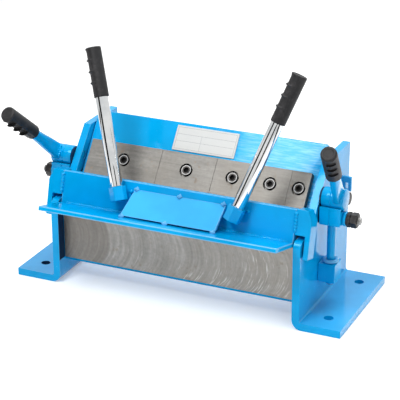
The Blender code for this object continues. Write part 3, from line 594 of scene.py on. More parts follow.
def worn_rim_and_highlight(name):
    """Oxide worn bright round a screw head, paled further as a painted highlight on the rim."""
    return speckled(name, (300, 3, 0.6), (0.36, 0.355, 0.35), (0.60, 0.59, 0.57), (0.5, 0.2), Metallic=0.1,
                    Specular_IOR_Level=0.3)


def pale_plating(name):
    """Pale bluish plating on the release rods' lower ends."""
    return speckled(name, (200, 3, 0.6), (0.22, 0.38, 0.50), (0.42, 0.56, 0.66), (0.2, 0.15), Metallic=0.6)


def black_oxide(name):
    """Black oxide on fasteners, worn a little brown and grey."""
    sheet = Sheet(name)
    cloud = sheet.noise(150, 4, 0.65)
    colour = sheet.mix(cloud.clear(0.40, 0.75), (0.017, 0.016, 0.016), (0.075, 0.066, 0.060))
    return sheet.finish(Base_Color=colour, Metallic=0.55, Roughness=0.36 + 0.2 * cloud,
                        Normal=sheet.bump(sheet.noise(700, 2, 0.5), 0.25, 0.04 * MM))


def spring_steel(name):
    """Bare grey wire."""
    return speckled(name, (500, 2, 0.5), (0.10, 0.10, 0.11), (0.22, 0.21, 0.20), (0.3, 0.15),
                    (0.15, 0.03 * MM), Metallic=0.9)


def black_grip(name):
    """Matt moulded grip with a fine leathery grain and a little dust."""
    sheet = Sheet(name)
    dust = sheet.noise(120, 4, 0.65).clear(0.45, 0.75)
    colour = sheet.mix(dust, (0.010, 0.010, 0.011), (0.030, 0.028, 0.030))
    return sheet.finish(Base_Color=colour, Roughness=0.50 + 0.16 * dust, Specular_IOR_Level=0.3,
                        Normal=sheet.bump(sheet.cells(900) + dust * 0.5, 0.35, 0.10 * MM))


def recess_shade(name):
    """Near-black painted shade in the fingers' counterbores and the screws' sockets."""
    return speckled(name, (300, 3, 0.6), (0.004, 0.004, 0.004), (0.016, 0.015, 0.014), (0.6, 0.2),
                    Specular_IOR_Level=0.12)


def shaded_paint(name):
    """Painted shade: paint darkened to stand for the deep shade in the gaps beside the frames, in bolt holes and
    round necks.
    """
    return speckled(name, (200, 3, 0.6), (0.0, 0.014, 0.045), (0.0, 0.026, 0.075), (0.5, 0.2),
                    Specular_IOR_Level=0.15)


def label_plate(name):
    """A bare pale plate with a faint satin grain."""
    sheet = Sheet(name)
    brushed = sheet.noise(1, 2, 0.5, sheet.stretched((90, 1500, 1500)))
    stain = sheet.noise(60, 3, 0.6)
    colour = sheet.mix(brushed * 0.5 + stain * 0.5, (0.44, 0.45, 0.445), (0.53, 0.54, 0.53))
    return sheet.finish(Base_Color=colour, Roughness=0.34 + 0.12 * stain,
                        Normal=sheet.bump(brushed, 0.08, 0.02 * MM))


def label_ruling(name):
    """Grey ruling on the bare label plate."""
    sheet = Sheet(name)
    worn = sheet.noise(500, 3, 0.6)
    colour = sheet.mix(worn.clear(0.3, 0.8), (0.16, 0.17, 0.19), (0.34, 0.35, 0.37))
    return sheet.finish(Base_Color=colour, Roughness=0.4 + 0.1 * worn)


# Each finish with the slot of a piece that has it first, and what makes it
FINISHES = {
    "blue paint": ("blue_paint", blue_paint),
    # Painted light: the next two finishes are paint paled toward pale blue, the first as painted sheen on foot
    # tops, brackets and the gusset, the second as a painted highlight on rounded edges, tacks and guide rings.
    "hazy paint": ("blue_paint", lambda name: blue_paint(name, sheen=0.16)),
    "edge paint": ("blue_paint", lambda name: blue_paint(name, sheen=0.55)),
    # The beam's finish carries painted glare in streaks over its right part.
    "wiped paint": ("blue_paint", lambda name: blue_paint(name, glare_streak=0.5)),
    "shaded paint": ("blue_paint", shaded_paint),
    "pale plating": ("blue_paint", pale_plating),
    "bed steel": ("ground_steel", bed_steel),
    "finger steel": ("ground_steel", lambda name: ground_steel(name, (60, 420, 420), (FINGER_LEAN, 0, 0),
                                                               rust=0.6, level=0.42)),
    "dark bore": ("ground_steel", recess_shade),
    "bright chrome": ("chrome", bright_chrome),
    "bright plating": ("black_steel", bright_plating),
    "worn rim": ("black_steel", worn_rim_and_highlight),
    "black oxide": ("black_steel", black_oxide),
    "spring steel": ("black_steel", spring_steel),
    "black grip": ("black_grip", black_grip),
    "label plate": ("label_sheet", label_plate),
    "label ruling": ("label_sheet", label_ruling),
}


def material_named(name):
    """Each finish is made once and then shared."""
    return bpy.data.materials.get(name) or FINISHES[name][1](name)


# Pieces on their bodies

def add_piece(name, mesh, body, finishes, stands_for=(), edge=0, segments=3, sharp=35, rim=-1):
    """A finished piece of the brake from a bmesh, riding on its body."""
    data = written(name, mesh)
    packed_normals = data.attributes.get("custom_normal")
    if packed_normals:
        data.attributes.remove(packed_normals)
    data.shade_smooth()
    data.set_sharp_from_angle(angle=math.radians(sharp))
    for finish in finishes:
        data.materials.append(material_named(finish))
    piece = linked(name, data)
    if edge:
        bevel = piece.modifiers.new("rounded edges", "BEVEL")
        bevel.width = edge
        bevel.segments = segments
        bevel.limit_method = "ANGLE"
        bevel.angle_limit = BEVEL_OVER
        bevel.harden_normals = True
        # The rounded edges get a finish of their own; callers give them the paler edge finish, a painted
        # highlight.
        bevel.material = rim
    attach(piece, body)
    if stands_for:
        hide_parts(*stands_for)
    return piece


def replace(node, *finishes, mesh=None, suffix="_finished", **edges):
    """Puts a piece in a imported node's place: a shape of its own, or else the node's with rounded edges."""
    shape = copy_of(node) if mesh is None else mesh
    return add_piece(node + suffix, shape, body_of(node), finishes, (node,), **edges)


def add_weld(name, body, ends, thick, pitch, seed=0, finish="blue paint"):
    """A weld bead, its radius and its ripples' pitch given as shares of the usual bead's radius."""
    size = looks().weld
    return add_piece(name, weld_bead(*ends, size * thick, size * pitch, seed), body, (finish,), sharp=80)


# Settings

class BrakeLooks(bpy.types.PropertyGroup):
    """Sizes and colours of the dressed brake that a user would change."""

    paint: FloatVectorProperty(name="Paint", description="Colour of the gloss paint", subtype="COLOR", size=3,
                               default=(0.0, 0.350, 0.730), min=0, max=1)
    steel: FloatVectorProperty(name="Steel", description="Middle tone of the ground steel", subtype="COLOR",
                               size=3, default=(0.355, 0.345, 0.325), min=0, max=1)
    plate_edge: FloatProperty(name="Plate edge", description="Rounding of painted plate edges",
                              default=0.8 * MM, min=0.1 * MM, max=3 * MM, unit="LENGTH")
    steel_edge: FloatProperty(name="Steel edge", description="Break on the edges of ground steel",
                              default=0.35 * MM, min=0.05 * MM, max=1 * MM, unit="LENGTH")
    weld: FloatProperty(name="Weld", description="Radius of a weld bead", default=1.9 * MM, min=0.5 * MM,
                        max=4 * MM, unit="LENGTH")
    thread_pitch: FloatProperty(name="Thread pitch", description="Pitch of the studs' threads",
                                default=1.5 * MM, min=0.5 * MM, max=3 * MM, unit="LENGTH")
    grip_ribs: IntProperty(name="Grip ribs", description="Finger ribs on each grip", default=3, min=0, max=6)
    rib_rise: FloatProperty(name="Rib rise", description="How far a finger rib stands out of its grip",
                            default=1.3 * MM, min=0, max=3 * MM, unit="LENGTH")


# Fixed frame

FOOT_HOLE_ACROSS = 195.8 * MM
FOOT_HOLES_APART = 111 * MM
FOOT_HOLE_WALL_R = 6.2 * MM
SEAM_INSET = 12 * MM
SEAM_LENGTH = 18 * MM
SEAM_DROP = 8.6 * MM
BOLT_HEAD = 11.5 * MM
BOLT_SHANK_R = 5 * MM
GUIDE_EDGE = 3.4 * MM
GUIDE_BORE_R = 5.6 * MM
SPRING_WIRE_R = 0.75 * MM
RELEASE_ROD_R = 5.3 * MM
ROD_SHOULDER = 3 * MM
ROD_PLATED = 4 * MM


class BRAKE_OT_end_frames(bpy.types.Operator):
    """Bent end plates with rounded edges, and the slotted brackets on them"""

    bl_idname = "brake.end_frames"
    bl_label = "End frames"

    def execute(self, context):
        for side in LEFT_AND_RIGHT:
            end_frame(side)
            bracket(side)
        return {"FINISHED"}


def end_frame(side):
    """The bent plate: paled on its foot's top as painted sheen, with a painted highlight on its rounded edges, and
    dark with painted shade in the gap beside the bed bar and in the left foot's holes.
    """
    node = side_name(side) + "_end_frame"
    mesh = copy_of(node)
    bed_low, bed_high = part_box("bed_bar")
    cut(mesh, (0, bed_low.y, 0), (0, 1, 0), drop=False)
    cut(mesh, (0, 0, bed_low.z), (0, 0, 1), drop=False)
    # Slot 2 is painted shade and slot 3 painted sheen.
    plain, shaded, sheen_index = 0, 2, 3
    holes = [Vector((side * FOOT_HOLE_ACROSS, middle(node).y + way * FOOT_HOLES_APART / 2, 0))
             for way in LEFT_AND_RIGHT]
    for face in mesh.faces:
        centre = face.calc_center_median()
        if face.normal.z > 0.99 and centre.z < bed_low.z:
            face.material_index = sheen_index
        away = [max((corner.co - hole).xy.length for corner in face.verts) for hole in holes]
        if min(away) < FOOT_HOLE_WALL_R:
            face.material_index = plain if side > 0 else shaded
        by_bed_end = abs(centre.x - bed_high.x * side) < 1 * MM and bed_low.z < centre.z < bed_high.z
        if face.normal.x * side < -0.9 and by_bed_end and centre.y < bed_low.y:
            face.material_index = shaded
    replace(node, "blue paint", "edge paint", "shaded paint", "hazy paint", mesh=mesh,
            edge=looks().plate_edge, rim=1)


def bracket(side):
    """A slotted bracket paled as painted sheen, and the bead along its inner edge."""
    node = side_name(side) + "_bracket"
    replace(node, "hazy paint", edge=looks().plate_edge / 2)
    low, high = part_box(node)
    ends = [(inner_x(node), low.y, height) for height in (low.z + looks().weld, high.z - looks().weld)]
    add_weld(node + "_weld", "frame", ends, 0.8, 1.3, side)


class BRAKE_OT_bed(bpy.types.Operator):
    """Ground steel bed bar and the painted angle behind it"""

    bl_idname = "brake.bed"
    bl_label = "Bed"

    def execute(self, context):
        replace("bed_bar", "bed steel", edge=looks().steel_edge, segments=2)
        replace("bed_backing", "blue paint", edge=looks().plate_edge)
        low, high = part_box("bed_backing")
        height = high.z - SEAM_DROP
        for side, edge in ((-1, low.x), (1, high.x)):
            for start in (low.y + SEAM_INSET, high.y - SEAM_INSET - SEAM_LENGTH):
                name = f"{side_name(side)}_bed_weld_{round(start / MM)}".replace("-", "m")
                ends = [(edge, along, height) for along in (start, start + SEAM_LENGTH)]
                add_weld(name, "frame", ends, 1, 1.2, side)
        return {"FINISHED"}


class BRAKE_OT_pivot_bolts(bpy.types.Operator):
    """Black hexagon bolts at the back that the clamp beam turns on"""

    bl_idname = "brake.pivot_bolts"
    bl_label = "Pivot bolts"

    def execute(self, context):
        for side in LEFT_AND_RIGHT:
            pivot_bolt(side_name(side) + "_pivot_bolt")
        return {"FINISHED"}


def pivot_bolt(node):
    """A shank, a hexagonal head and the low crown on it."""
    place, radius, length = crosswise(node)
    under_head = length - BOLT_HEAD
    shank_in_head, crown_in_head = 0.2 * MM, 0.3 * MM
    shank = turned(round_bar(BOLT_SHANK_R, under_head + shank_in_head, 0.6 * MM))
    cap = moved(hexagon(radius, BOLT_HEAD), lifted(under_head))
    crown = turned([(0, 0), (radius * 0.55, 0), (radius * 0.5, 0.35 * MM), (0, 0.5 * MM)],
                   lifted(length - crown_in_head), SMALL_SIDES)
    replace(node, "black oxide", mesh=moved(joined(shank, cap, crown), place), edge=0.25 * MM, segments=2)


class BRAKE_OT_guides(bpy.types.Operator):
    """Guide blocks on the frames with their rings, springs and release rods"""

    bl_idname = "brake.guides"
    bl_label = "Release rods and guides"

    def execute(self, context):
        for side in LEFT_AND_RIGHT:
            name = side_name(side)
            replace(name + "_guide_block", "blue paint", edge=GUIDE_EDGE, segments=6)
            guide_ring(name + "_guide_ring")
            release_spring(name + "_release_spring")
            release_rod(name)
        return {"FINISHED"}


def guide_ring(node):
    place, outer, height = upright(node)
    bore, edge = GUIDE_BORE_R, 0.7 * MM
    profile = [(bore, 0), (outer - edge, 0), (outer, edge), (outer, height - edge), (outer - edge, height),
               (bore + edge, height), (bore, height - edge), (bore, 0)]
    # The whole ring is paint paled as painted sheen and highlight.
    replace(node, "edge paint", mesh=turned(profile, place), sharp=50)


def release_spring(node):
    """A coil spring between the guide's floor and the rod's shoulder."""
    place, outer, height = upright(node)
    spring = moved(coil(outer - SPRING_WIRE_R, SPRING_WIRE_R, height), place)
    replace(node, "spring steel", mesh=spring, suffix="_coil", sharp=80)


def release_rod(name):
    """A rod with a shoulder on its spring and a plated nose under its guide."""
    node = name + "_release_rod"
    place, shoulder_r, top = upright(node)
    over_spring = 0.3 * MM
    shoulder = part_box(name + "_release_spring")[1].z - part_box(node)[0].z + over_spring
    shoulder_top = shoulder + ROD_SHOULDER
    radius, edge, nose = RELEASE_ROD_R, BAR_EDGE, 2.2 * MM
    profile = [(0, 0), (radius - nose, 0), (radius - nose * 0.3, nose * 0.35), (radius, nose),
               (radius, shoulder), (shoulder_r, shoulder), (shoulder_r, shoulder_top),
               (radius, shoulder_top), (radius, top - edge), (radius - edge, top), (0, top)]
    rod = turned(profile, place)
    plated_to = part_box(name + "_guide_block")[0].z + ROD_PLATED
    for face in rod.faces:
        face.material_index = 1 if face.calc_center_median().z < plated_to else 0
    replace(node, "blue paint", "pale plating", mesh=rod)


# Clamp beam

BEAM_EDGE = 1.1 * MM
ARM_WELD_INSET = 3 * MM
COUNTERBORE_WALL_R = 8.4 * MM


class BRAKE_OT_clamp_beam(bpy.types.Operator):
    """Leaning beam plate with its arms and their welds"""

    bl_idname = "brake.clamp_beam"
    bl_label = "Clamp beam"

    def execute(self, context):
        # Painted glare in streaks on the beam's right part, and a painted highlight on its rounded edges
        replace("clamp_beam", "wiped paint", "edge paint", edge=BEAM_EDGE, rim=1)
        for side in LEFT_AND_RIGHT:
            beam_arm(side)
        return {"FINISHED"}


def beam_arm(side):
    """An arm, and a bead down the joint between the beam's back and the arm, on the arm's inner face."""
    node = side_name(side) + "_beam_arm"
    replace(node, "blue paint", edge=looks().plate_edge)
    out, up = out_and_up("clamp_beam")
    back = reach("clamp_beam", -out)[1]
    corners = [vertex.co for vertex in frame["nodes"][node].data.vertices]
    seat = [corner.dot(up) for corner in corners if corner.dot(-out) < back + 1 * MM]
    heights = (min(seat) + ARM_WELD_INSET, max(seat) - ARM_WELD_INSET)
    places = [up * height - out * back for height in heights]
    add_weld(node + "_weld", "beam", [(inner_x(node), place.y, place.z) for place in places], 1, 1.2, side)


class BRAKE_OT_fingers(bpy.types.Operator):
    """Ground steel fingers with counterbored holes"""

    bl_idname = "brake.fingers"
    bl_label = "Fingers"

    def execute(self, context):
        for node in finger_nodes():
            finger(node)
        return {"FINISHED"}


def finger_nodes():
    nodes = [node for node in sorted(frame["nodes"]) if node.startswith("finger")]
    return [node for node in nodes if not node.endswith("screw")]


def finger(node):
    """A finger, with painted shade inside its counterbore."""
    mesh = copy_of(node)
    centre = middle(node + "_screw")
    axis = turn_of(node) @ Vector((0, 1, 0))
    for face in mesh.faces:
        away = [corner.co - centre for corner in face.verts]
        if max((place - axis * place.dot(axis)).length for place in away) < COUNTERBORE_WALL_R:
            face.material_index = 1
    replace(node, "finger steel", "dark bore", mesh=mesh, edge=looks().steel_edge / 3, segments=2)


class BRAKE_OT_finger_screws(bpy.types.Operator):
    """Socket screws whose heads show bright rims, worn and with a painted highlight, round sockets in painted
    shade
    """

    bl_idname = "brake.finger_screws"
    bl_label = "Finger screws"

    def execute(self, context):
        for finger_node in finger_nodes():
            node = finger_node + "_screw"
            turn = turn_of(node) @ Matrix.Rotation(math.radians(-90), 3, "X")
            place, length = along_axis(node, turn)
            screw = moved(socket_screw(length), place)
            replace(node, "worn rim", "dark bore", "black oxide", mesh=screw, sharp=30)
        return {"FINISHED"}


def socket_screw(length):
    """A socket screw about Z, its head at the foot: a worn rim with a painted highlight, an oxide face, and a
    socket and sides in painted shade.
    """
    socket_r, rim_r, face_r, head_r, shank_r = 3.5 * MM, 5.2 * MM, 6.3 * MM, 6.8 * MM, 4 * MM
    socket, cone, slope, head, edge = 3.4 * MM, 1 * MM, 0.8 * MM, 5 * MM, 0.8 * MM
    profile = [(socket_r, 0), (rim_r, 0), (face_r, 0), (face_r, 0.1 * MM), (head_r, slope), (head_r, head),
               (shank_r, head), (shank_r, length - edge), (shank_r - edge, length), (0, length)]
    mesh = turned(profile, steps=48)
    corners, rim = extruded(mesh, open_edges(mesh))
    for corner in corners:
        angle = math.atan2(corner.co.y, corner.co.x)
        sector = (angle + math.tau) % (math.pi / 3) - math.pi / 6
        flat = 0.98 * socket_r * math.cos(math.pi / 6) / math.cos(sector)
        corner.co = Vector((flat * math.cos(angle), flat * math.sin(angle), 0.3 * MM))
    for fall in (socket, cone):
        corners, rim = extruded(mesh, rim)
        bmesh.ops.translate(mesh, verts=corners, vec=(0, 0, fall))
    bmesh.ops.pointmerge(mesh, verts=corners, merge_co=(0, 0, socket + cone))
    # The worn rim with its painted highlight lies outside rim_r, oxide inside it; the socket, the head's side and
    # the shank are painted shade.
    for face in mesh.faces:
        centre = face.calc_center_median()
        on_face = socket_r * 0.99 < centre.xy.length < face_r and centre.z < 0.05 * MM
        face.material_index = 1 if not on_face else 0 if centre.xy.length > rim_r * 0.99 else 2
    return facing_out(mesh)


class BRAKE_OT_label(bpy.types.Operator):
    """Bare label plate with plain ruling"""

    bl_idname = "brake.label"
    bl_label = "Label plate"

    def execute(self, context):
        node = "label_plate"
        replace(node, "label plate", edge=0.25 * MM, segments=2)
        out, up = out_and_up(node)
        low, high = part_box(node)
        bottom, top = reach(node, up)
        place = Matrix(((1, 0, 0), tuple(up), tuple(out))).transposed().to_4x4()
        place.translation = Vector((low.x, 0, 0)) + out * reach(node, out)[1] + up * bottom
        ruling = moved(ruled(high.x - low.x, top - bottom), place)
        add_piece("label_ruling", ruling, "beam", ("label ruling",))
        return {"FINISHED"}


def ruled(width, height):
    """A thin border and blank rows, in the plate's own axes: X along it and Y up it."""
    line, margin, thick = 0.35 * MM, 2.2 * MM, 0.04 * MM
    right, top = width - margin, height - margin
    bars = [(margin, margin, right, margin + line), (margin, top - line, right, top),
            (margin, margin, margin + line, top), (right - line, margin, right, top)]
    for row in (0.36, 0.68):
        rise = margin + (height - 2 * margin) * row
        bars.append((margin, rise, right, rise + line))
    across = margin + (width - 2 * margin) * 0.42
    bars.append((across, margin, across + line, rise))
    mesh = bmesh.new()
    for left, low, end, high in bars:
        size = Matrix.Diagonal((end - left, high - low, thick, 1))
        spot = Matrix.Translation(((left + end) / 2, (low + high) / 2, thick / 4))
        bmesh.ops.create_cube(mesh, size=1, matrix=spot @ size)
    return mesh


# Clamping gear

BLOCK_NECK = 2 * MM
BLOCK_NECK_SHARE = 0.9
BLOCK_SEAM = 0.15 * MM
BLOCK_EDGE = 1.4 * MM
THREAD_DEPTH = 0.55 * MM
SPACER_BORE_R = 5.3 * MM
NUT_BORE_R = 4.7 * MM
LOCK_NUT_TURN = math.radians(8)


class BRAKE_OT_clamp_gear(bpy.types.Operator):
    """Threaded studs with their blocks, spacers and nuts"""

    bl_idname = "brake.clamp_gear"
    bl_label = "Studs, blocks and nuts"

    def execute(self, context):
        for side in LEFT_AND_RIGHT:
            name = side_name(side)
            clamp_stud(name + "_clamp_stud")
            clamp_block(side)
            clamp_spacer(name + "_clamp_spacer")
            for node in [node for node in frame["nodes"] if node.startswith(name) and node.endswith("_nut")]:
                nut(node)
        return {"FINISHED"}


def clamp_stud(node):
    place, radius, length = crosswise(node)
    first_turn = 0.6 * MM
    core = turned(round_bar(radius - THREAD_DEPTH, length, BAR_EDGE))
    ridge = moved(thread(radius, looks().thread_pitch, THREAD_DEPTH, length), lifted(first_turn))
    replace(node, "bright plating", mesh=moved(joined(core, ridge), place), sharp=40)


def clamp_block(side):
    """The block's two halves with the seam between them, and a narrower neck toward the frame that is painted
    shade.
    """
    node = side_name(side) + "_clamp_block"
    centre = middle(node)
    neck = copy_of(node)
    bmesh.ops.scale(neck, verts=neck.verts, vec=(1, BLOCK_NECK_SHARE, BLOCK_NECK_SHARE),
                    space=Matrix.Translation(-centre))
    cut(neck, (inner_x(node) + side * BLOCK_NECK * 1.5, 0, 0), (side, 0, 0))
    # The neck is painted shade for the dark gap by the frame.
    for face in neck.faces:
        face.material_index = 1
    halves = [neck]
    for way in LEFT_AND_RIGHT:
        half = copy_of(node)
        cut(half, centre + Vector((way * BLOCK_SEAM, 0, 0)), (-way, 0, 0))
        inner = min(corner.co.x * side for corner in half.verts)
        for corner in half.verts if way == -side else ():
            if corner.co.x * side < inner + 0.1 * MM:
                corner.co.x += side * BLOCK_NECK
        halves.append(half)
    replace(node, "blue paint", "shaded paint", mesh=joined(*halves), edge=BLOCK_EDGE, segments=4)


def clamp_spacer(node):
    place, outer, length = crosswise(node)
    bore, edge = SPACER_BORE_R, 0.5 * MM
    profile = [(bore, 0), (outer - edge, 0), (outer, edge), (outer, length - edge), (outer - edge, length),
               (bore, length), (bore, 0)]
    replace(node, "blue paint", mesh=turned(profile, place), sharp=50)


def nut(node):
    """A nut on its stud. The lock nut stands a little turned."""
    place, radius, length = crosswise(node)
    turn = Matrix.Rotation(LOCK_NUT_TURN if "lock" in node else 0, 4, "Z")
    shape = moved(hexagon(radius, length, NUT_BORE_R), place @ turn)
    replace(node, "black oxide", mesh=shape, edge=0.22 * MM, segments=2)


# Levers and grips

HUB_BARREL = 30.5 * MM
HUB_SHAFT_R = 5 * MM
LEVER_TANG = 40 * MM
LEVER_ROOT = 9 * MM
LEVER_WELD = 12.6 * MM
LEVER_RINGS = 14
LEVER_GRIP = {"radius": 9.7 * MM, "bore": 40.3 * MM, "bore_r": 5.3 * MM, "nose": 3 * MM, "start": 0.75,
              "lean": 2.4 * MM, "thick": 0.6 * MM}
HANDLE_GRIP = {"radius": 9.6 * MM, "bore": 50 * MM, "bore_r": 8.3 * MM, "nose": 1.2 * MM, "start": 0.4,
               "lean": 0, "thick": 1.3 * MM}


class BRAKE_OT_levers(bpy.types.Operator):
    """Eccentric hubs, lever arms with their welds, and the ribbed grips"""

    bl_idname = "brake.levers"
    bl_label = "Clamp levers"

    def execute(self, context):
        for side, rib_side, rise in ((-1, -90, 3.2), (1, -58, 1.5)):
            lever_hub(side_name(side))
            lever_arm(side)
            add_grip(side_name(side) + "_lever_grip", rib_side, rise, LEVER_GRIP)
        return {"FINISHED"}


def lever_hub(name):
    """A barrel with a neck in painted shade and a groove round it, and the shaft that turns in the frame."""
    node = name + "_lever_hub"
    place, radius, length = crosswise(node)
    edge, groove, seam = 1.2 * MM, 0.7 * MM, 14 * MM
    neck_r, neck = radius - 1.1 * MM, 2.3 * MM
    rim = broken_edges(radius, neck, HUB_BARREL, edge)
    round_seam = [(radius, seam - groove), (radius - groove, seam), (radius, seam + groove)]
    profile = [(0, 0), (neck_r, 0), (neck_r, neck), *rim[:3], *round_seam, *rim[3:], (0, HUB_BARREL)]
    barrel = turned(profile)
    for face in barrel.faces:
        face.material_index = 1 if face.calc_center_median().z < neck * 0.9 else 0
    shaft_length = length - HUB_BARREL
    shaft_place = aimed((inner_x(node), *joint_place(name + "_lever_turn")), (side_of(node), 0, 0))
    in_barrel = 1 * MM
    shaft = turned(round_bar(HUB_SHAFT_R, shaft_length + in_barrel, BAR_EDGE), shaft_place, SMALL_SIDES)
    barrel = moved(barrel, place @ lifted(shaft_length))
    replace(node, "blue paint", "shaded paint", mesh=joined(barrel, shaft))


def lever_arm(side):
    """A bar that is flat at its root in the hub and grows round toward the grip, with its tang."""
    body = side_name(side) + "_lever"
    node = body + "_arm"
    place, length = along_axis(node)
    axis = turn_of(node) @ UP
    flat = Vector((0, axis.y, axis.z))
    hub = middle(body + "_hub")
    foot = place.translation
    back = (foot - Vector((foot.x, hub.y, hub.z))).dot(flat) / flat.length_squared
    place = place @ lifted(-back)
    end = length + back
    grip_foot = end - LEVER_TANG
    root_wide, root_thick, end_r, tang_r = 10.5 * MM, 3.4 * MM, 6.8 * MM, 5 * MM
    fillet, weld_away, weld_half = 2.2 * MM, 1.6 * MM, 9 * MM
    rings = []
    for step in range(LEVER_RINGS + 1):
        share = step / LEVER_RINGS
        ease = share * share * (3 - 2 * share)
        wide = root_wide + (end_r - root_wide) * ease
        thick = root_thick + (end_r - root_thick) * ease + fillet * max(0, 1 - share * 5) ** 2
        rings.append((LEVER_ROOT + (grip_foot - LEVER_ROOT) * share, thick, wide, 4 - 2 * ease))
    tip = 0.5 * MM
    tang = ((grip_foot, tang_r), (end - tip, tang_r), (end, tang_r - tip))
    rings += [(height, radius, radius, 2) for height, radius in tang]
    replace(node, "blue paint", mesh=moved(lofted(rings), place), sharp=50)
    for across in LEFT_AND_RIGHT:
        beside = across * (root_thick + weld_away)
        ends = [place @ Vector((beside, wide, LEVER_WELD)) for wide in (-weld_half, weld_half)]
        add_weld(f"{body}_weld_{'outer' if across == side else 'inner'}", body, ends, 1, 1.5, across)


def add_grip(node, rib_side, rise, shape):
    """A grip on its bar, with ribs toward rib_side (degrees) that rise by a share of the usual rise."""
    place, length = along_axis(node)
    mesh = grip(length, math.radians(rib_side), looks().rib_rise * rise, **shape)
    replace(node, "black grip", mesh=moved(mesh, place), sharp=50)


def grip(length, rib_side, rise, radius, bore, bore_r, nose, start, lean, thick):
    """A moulded grip about Z from its open end, bored for its bar, with finger ribs on one side."""
    edge, rows, dent, flare_length = 0.9 * MM, 300, 0.5 * MM, 2.4 * MM
    profile = [(0, bore), (bore_r, bore), (bore_r, edge), (bore_r + edge, 0), (radius - edge, 0),
               (radius - edge * 0.3, edge * 0.3), (radius, edge)]
    profile += [(radius, edge + (length - edge - nose) * row / rows) for row in range(1, rows)]
    for step in range(9):
        angle = math.pi / 2 * step / 8
        profile.append((radius - nose * 0.75 * (1 - math.cos(angle)), length - nose + nose * math.sin(angle)))
    profile += [(radius * 0.62, length), (radius * 0.58, length - dent), (0, length - dent)]
    mesh = turned(profile)
    facing = Vector((math.cos(rib_side), math.sin(rib_side), 0))
    ribs = [length * (0.295 + 0.228 * rib) for rib in range(looks().grip_ribs)]
    for corner in mesh.verts:
        flat = Vector((corner.co.x, corner.co.y, 0))
        if flat.length < radius * 0.97:
            continue
        outward = flat.normalized()
        spread = min(1, 1.8 * max(0, outward.dot(facing) - start) / (1 - start))
        swell = max([math.exp(-((corner.co.z - rib) / thick) ** 2) for rib in ribs], default=0)
        flare = math.exp(-(max(0, length - nose - corner.co.z) / flare_length) ** 2)
        corner.co += outward * (swell + 0.5 * flare - 0.3) * spread * rise
        corner.co.z += swell * spread * lean
    return mesh


# Folding leaf

GUSSET_SLOT = 1.6 * MM
EAR_WELD_FOOT = 17 * MM
EAR_WELD_TOP = 2 * MM
SHELF_WELD_INSET = 8 * MM
TACK_HALF = 3.4 * MM
HANDLE_ROD_R = 8 * MM
HANDLE_ROD_SIDES = 96
SOCKET_EDGE = 1.2 * MM
SOCKET_WELD_RISE = 3.5 * MM
SOCKET_WELD_ACROSS = (9 * MM, 14.5 * MM)


class BRAKE_OT_leaf(bpy.types.Operator):
    """Folding leaf: web, shelf, gusset and ears with rounded edges and weld beads"""

    bl_idname = "brake.leaf"
    bl_label = "Folding leaf"

    def execute(self, context):
        for node in ("leaf_bar", "leaf_shelf"):
            # The rounded edges are paler paint, a painted highlight.
            replace(node, "blue paint", "edge paint", edge=looks().plate_edge * 1.6, rim=1)
        gusset("leaf_gusset")
        for side in LEFT_AND_RIGHT:
            replace(side_name(side) + "_leaf_ear", "blue paint", edge=looks().plate_edge * 1.4)
            hinge_pin(side_name(side) + "_hinge_pin")
        leaf_welds()
        gusset_tacks()
        return {"FINISHED"}


def on_leaf(across, out, up):
    """A place across the machine, out from the leaf's working face and up from its hinge."""
    return Vector((across, *joint_place("leaf_hinge"))) + turn_of("leaf_bar") @ Vector((0, -out, up))


def leaf_measure(node):
    """How far a leaf node reaches out from the leaf's working face and up from its hinge, as two ranges."""
    hinge = on_leaf(0, 0, 0)
    return [[value - hinge.dot(axis) for value in reach(node, axis)] for axis in out_and_up("leaf_bar")]


def gusset(node):
    """The slanting plate, paled as painted sheen with a painted highlight on its rounded edges, cut back at its
    foot so that a slot stays open between the tacks.
    """
    mesh = copy_of(node)
    foot = leaf_measure(node)[1][0] + GUSSET_SLOT
    cut(mesh, on_leaf(0, 0, foot), -out_and_up(node)[1])
    replace(node, "hazy paint", "edge paint", mesh=mesh, edge=looks().plate_edge * 1.2, rim=1)


def hinge_pin(node):
    place, radius, length = crosswise(node)
    replace(node, "black oxide", mesh=turned(round_bar(radius, length, BAR_EDGE), place))


def leaf_welds():
    """Beads down the front of the joints between web and ears, and in the corner over the shelf."""
    out, up = leaf_measure("leaf_bar")
    low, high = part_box("leaf_bar")
    for side, edge in ((-1, low.x), (1, high.x)):
        ends = [on_leaf(edge, out[1], height) for height in (up[0] + EAR_WELD_FOOT, up[1] - EAR_WELD_TOP)]
        add_weld(side_name(side) + "_ear_weld", "leaf", ends, 1.5, 2.1, side)
    out, up = leaf_measure("leaf_shelf")
    low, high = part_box("leaf_shelf")
    across = (low.x + SHELF_WELD_INSET, high.x - SHELF_WELD_INSET)
    ends = [on_leaf(end, out[0], up[1]) for end in across]
    add_weld("shelf_weld", "leaf", ends, 1.1, 1.5)


def gusset_tacks():
    """Small tack welds along the gusset's top and foot, in paint paled as a painted highlight."""
    out, up = leaf_measure("leaf_gusset")
    low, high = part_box("leaf_gusset")
    half = (high.x - low.x) / 2
    places = [(share, out[0] + 1.2 * MM, up[1]) for share in (-0.92, 0, 0.92)]
    places += [(share, out[1] - 1 * MM, up[0] + 1 * MM) for share in (-0.95, -0.03, 0.97)]
    for number, (share, away, height) in enumerate(places):
        spot = middle("leaf_gusset").x + half * share
        ends = [on_leaf(spot + aside, away, height) for aside in (-TACK_HALF, TACK_HALF)]
        add_weld(f"gusset_tack_{number + 1}", "leaf", ends, 2, 2.2, number, "edge paint")


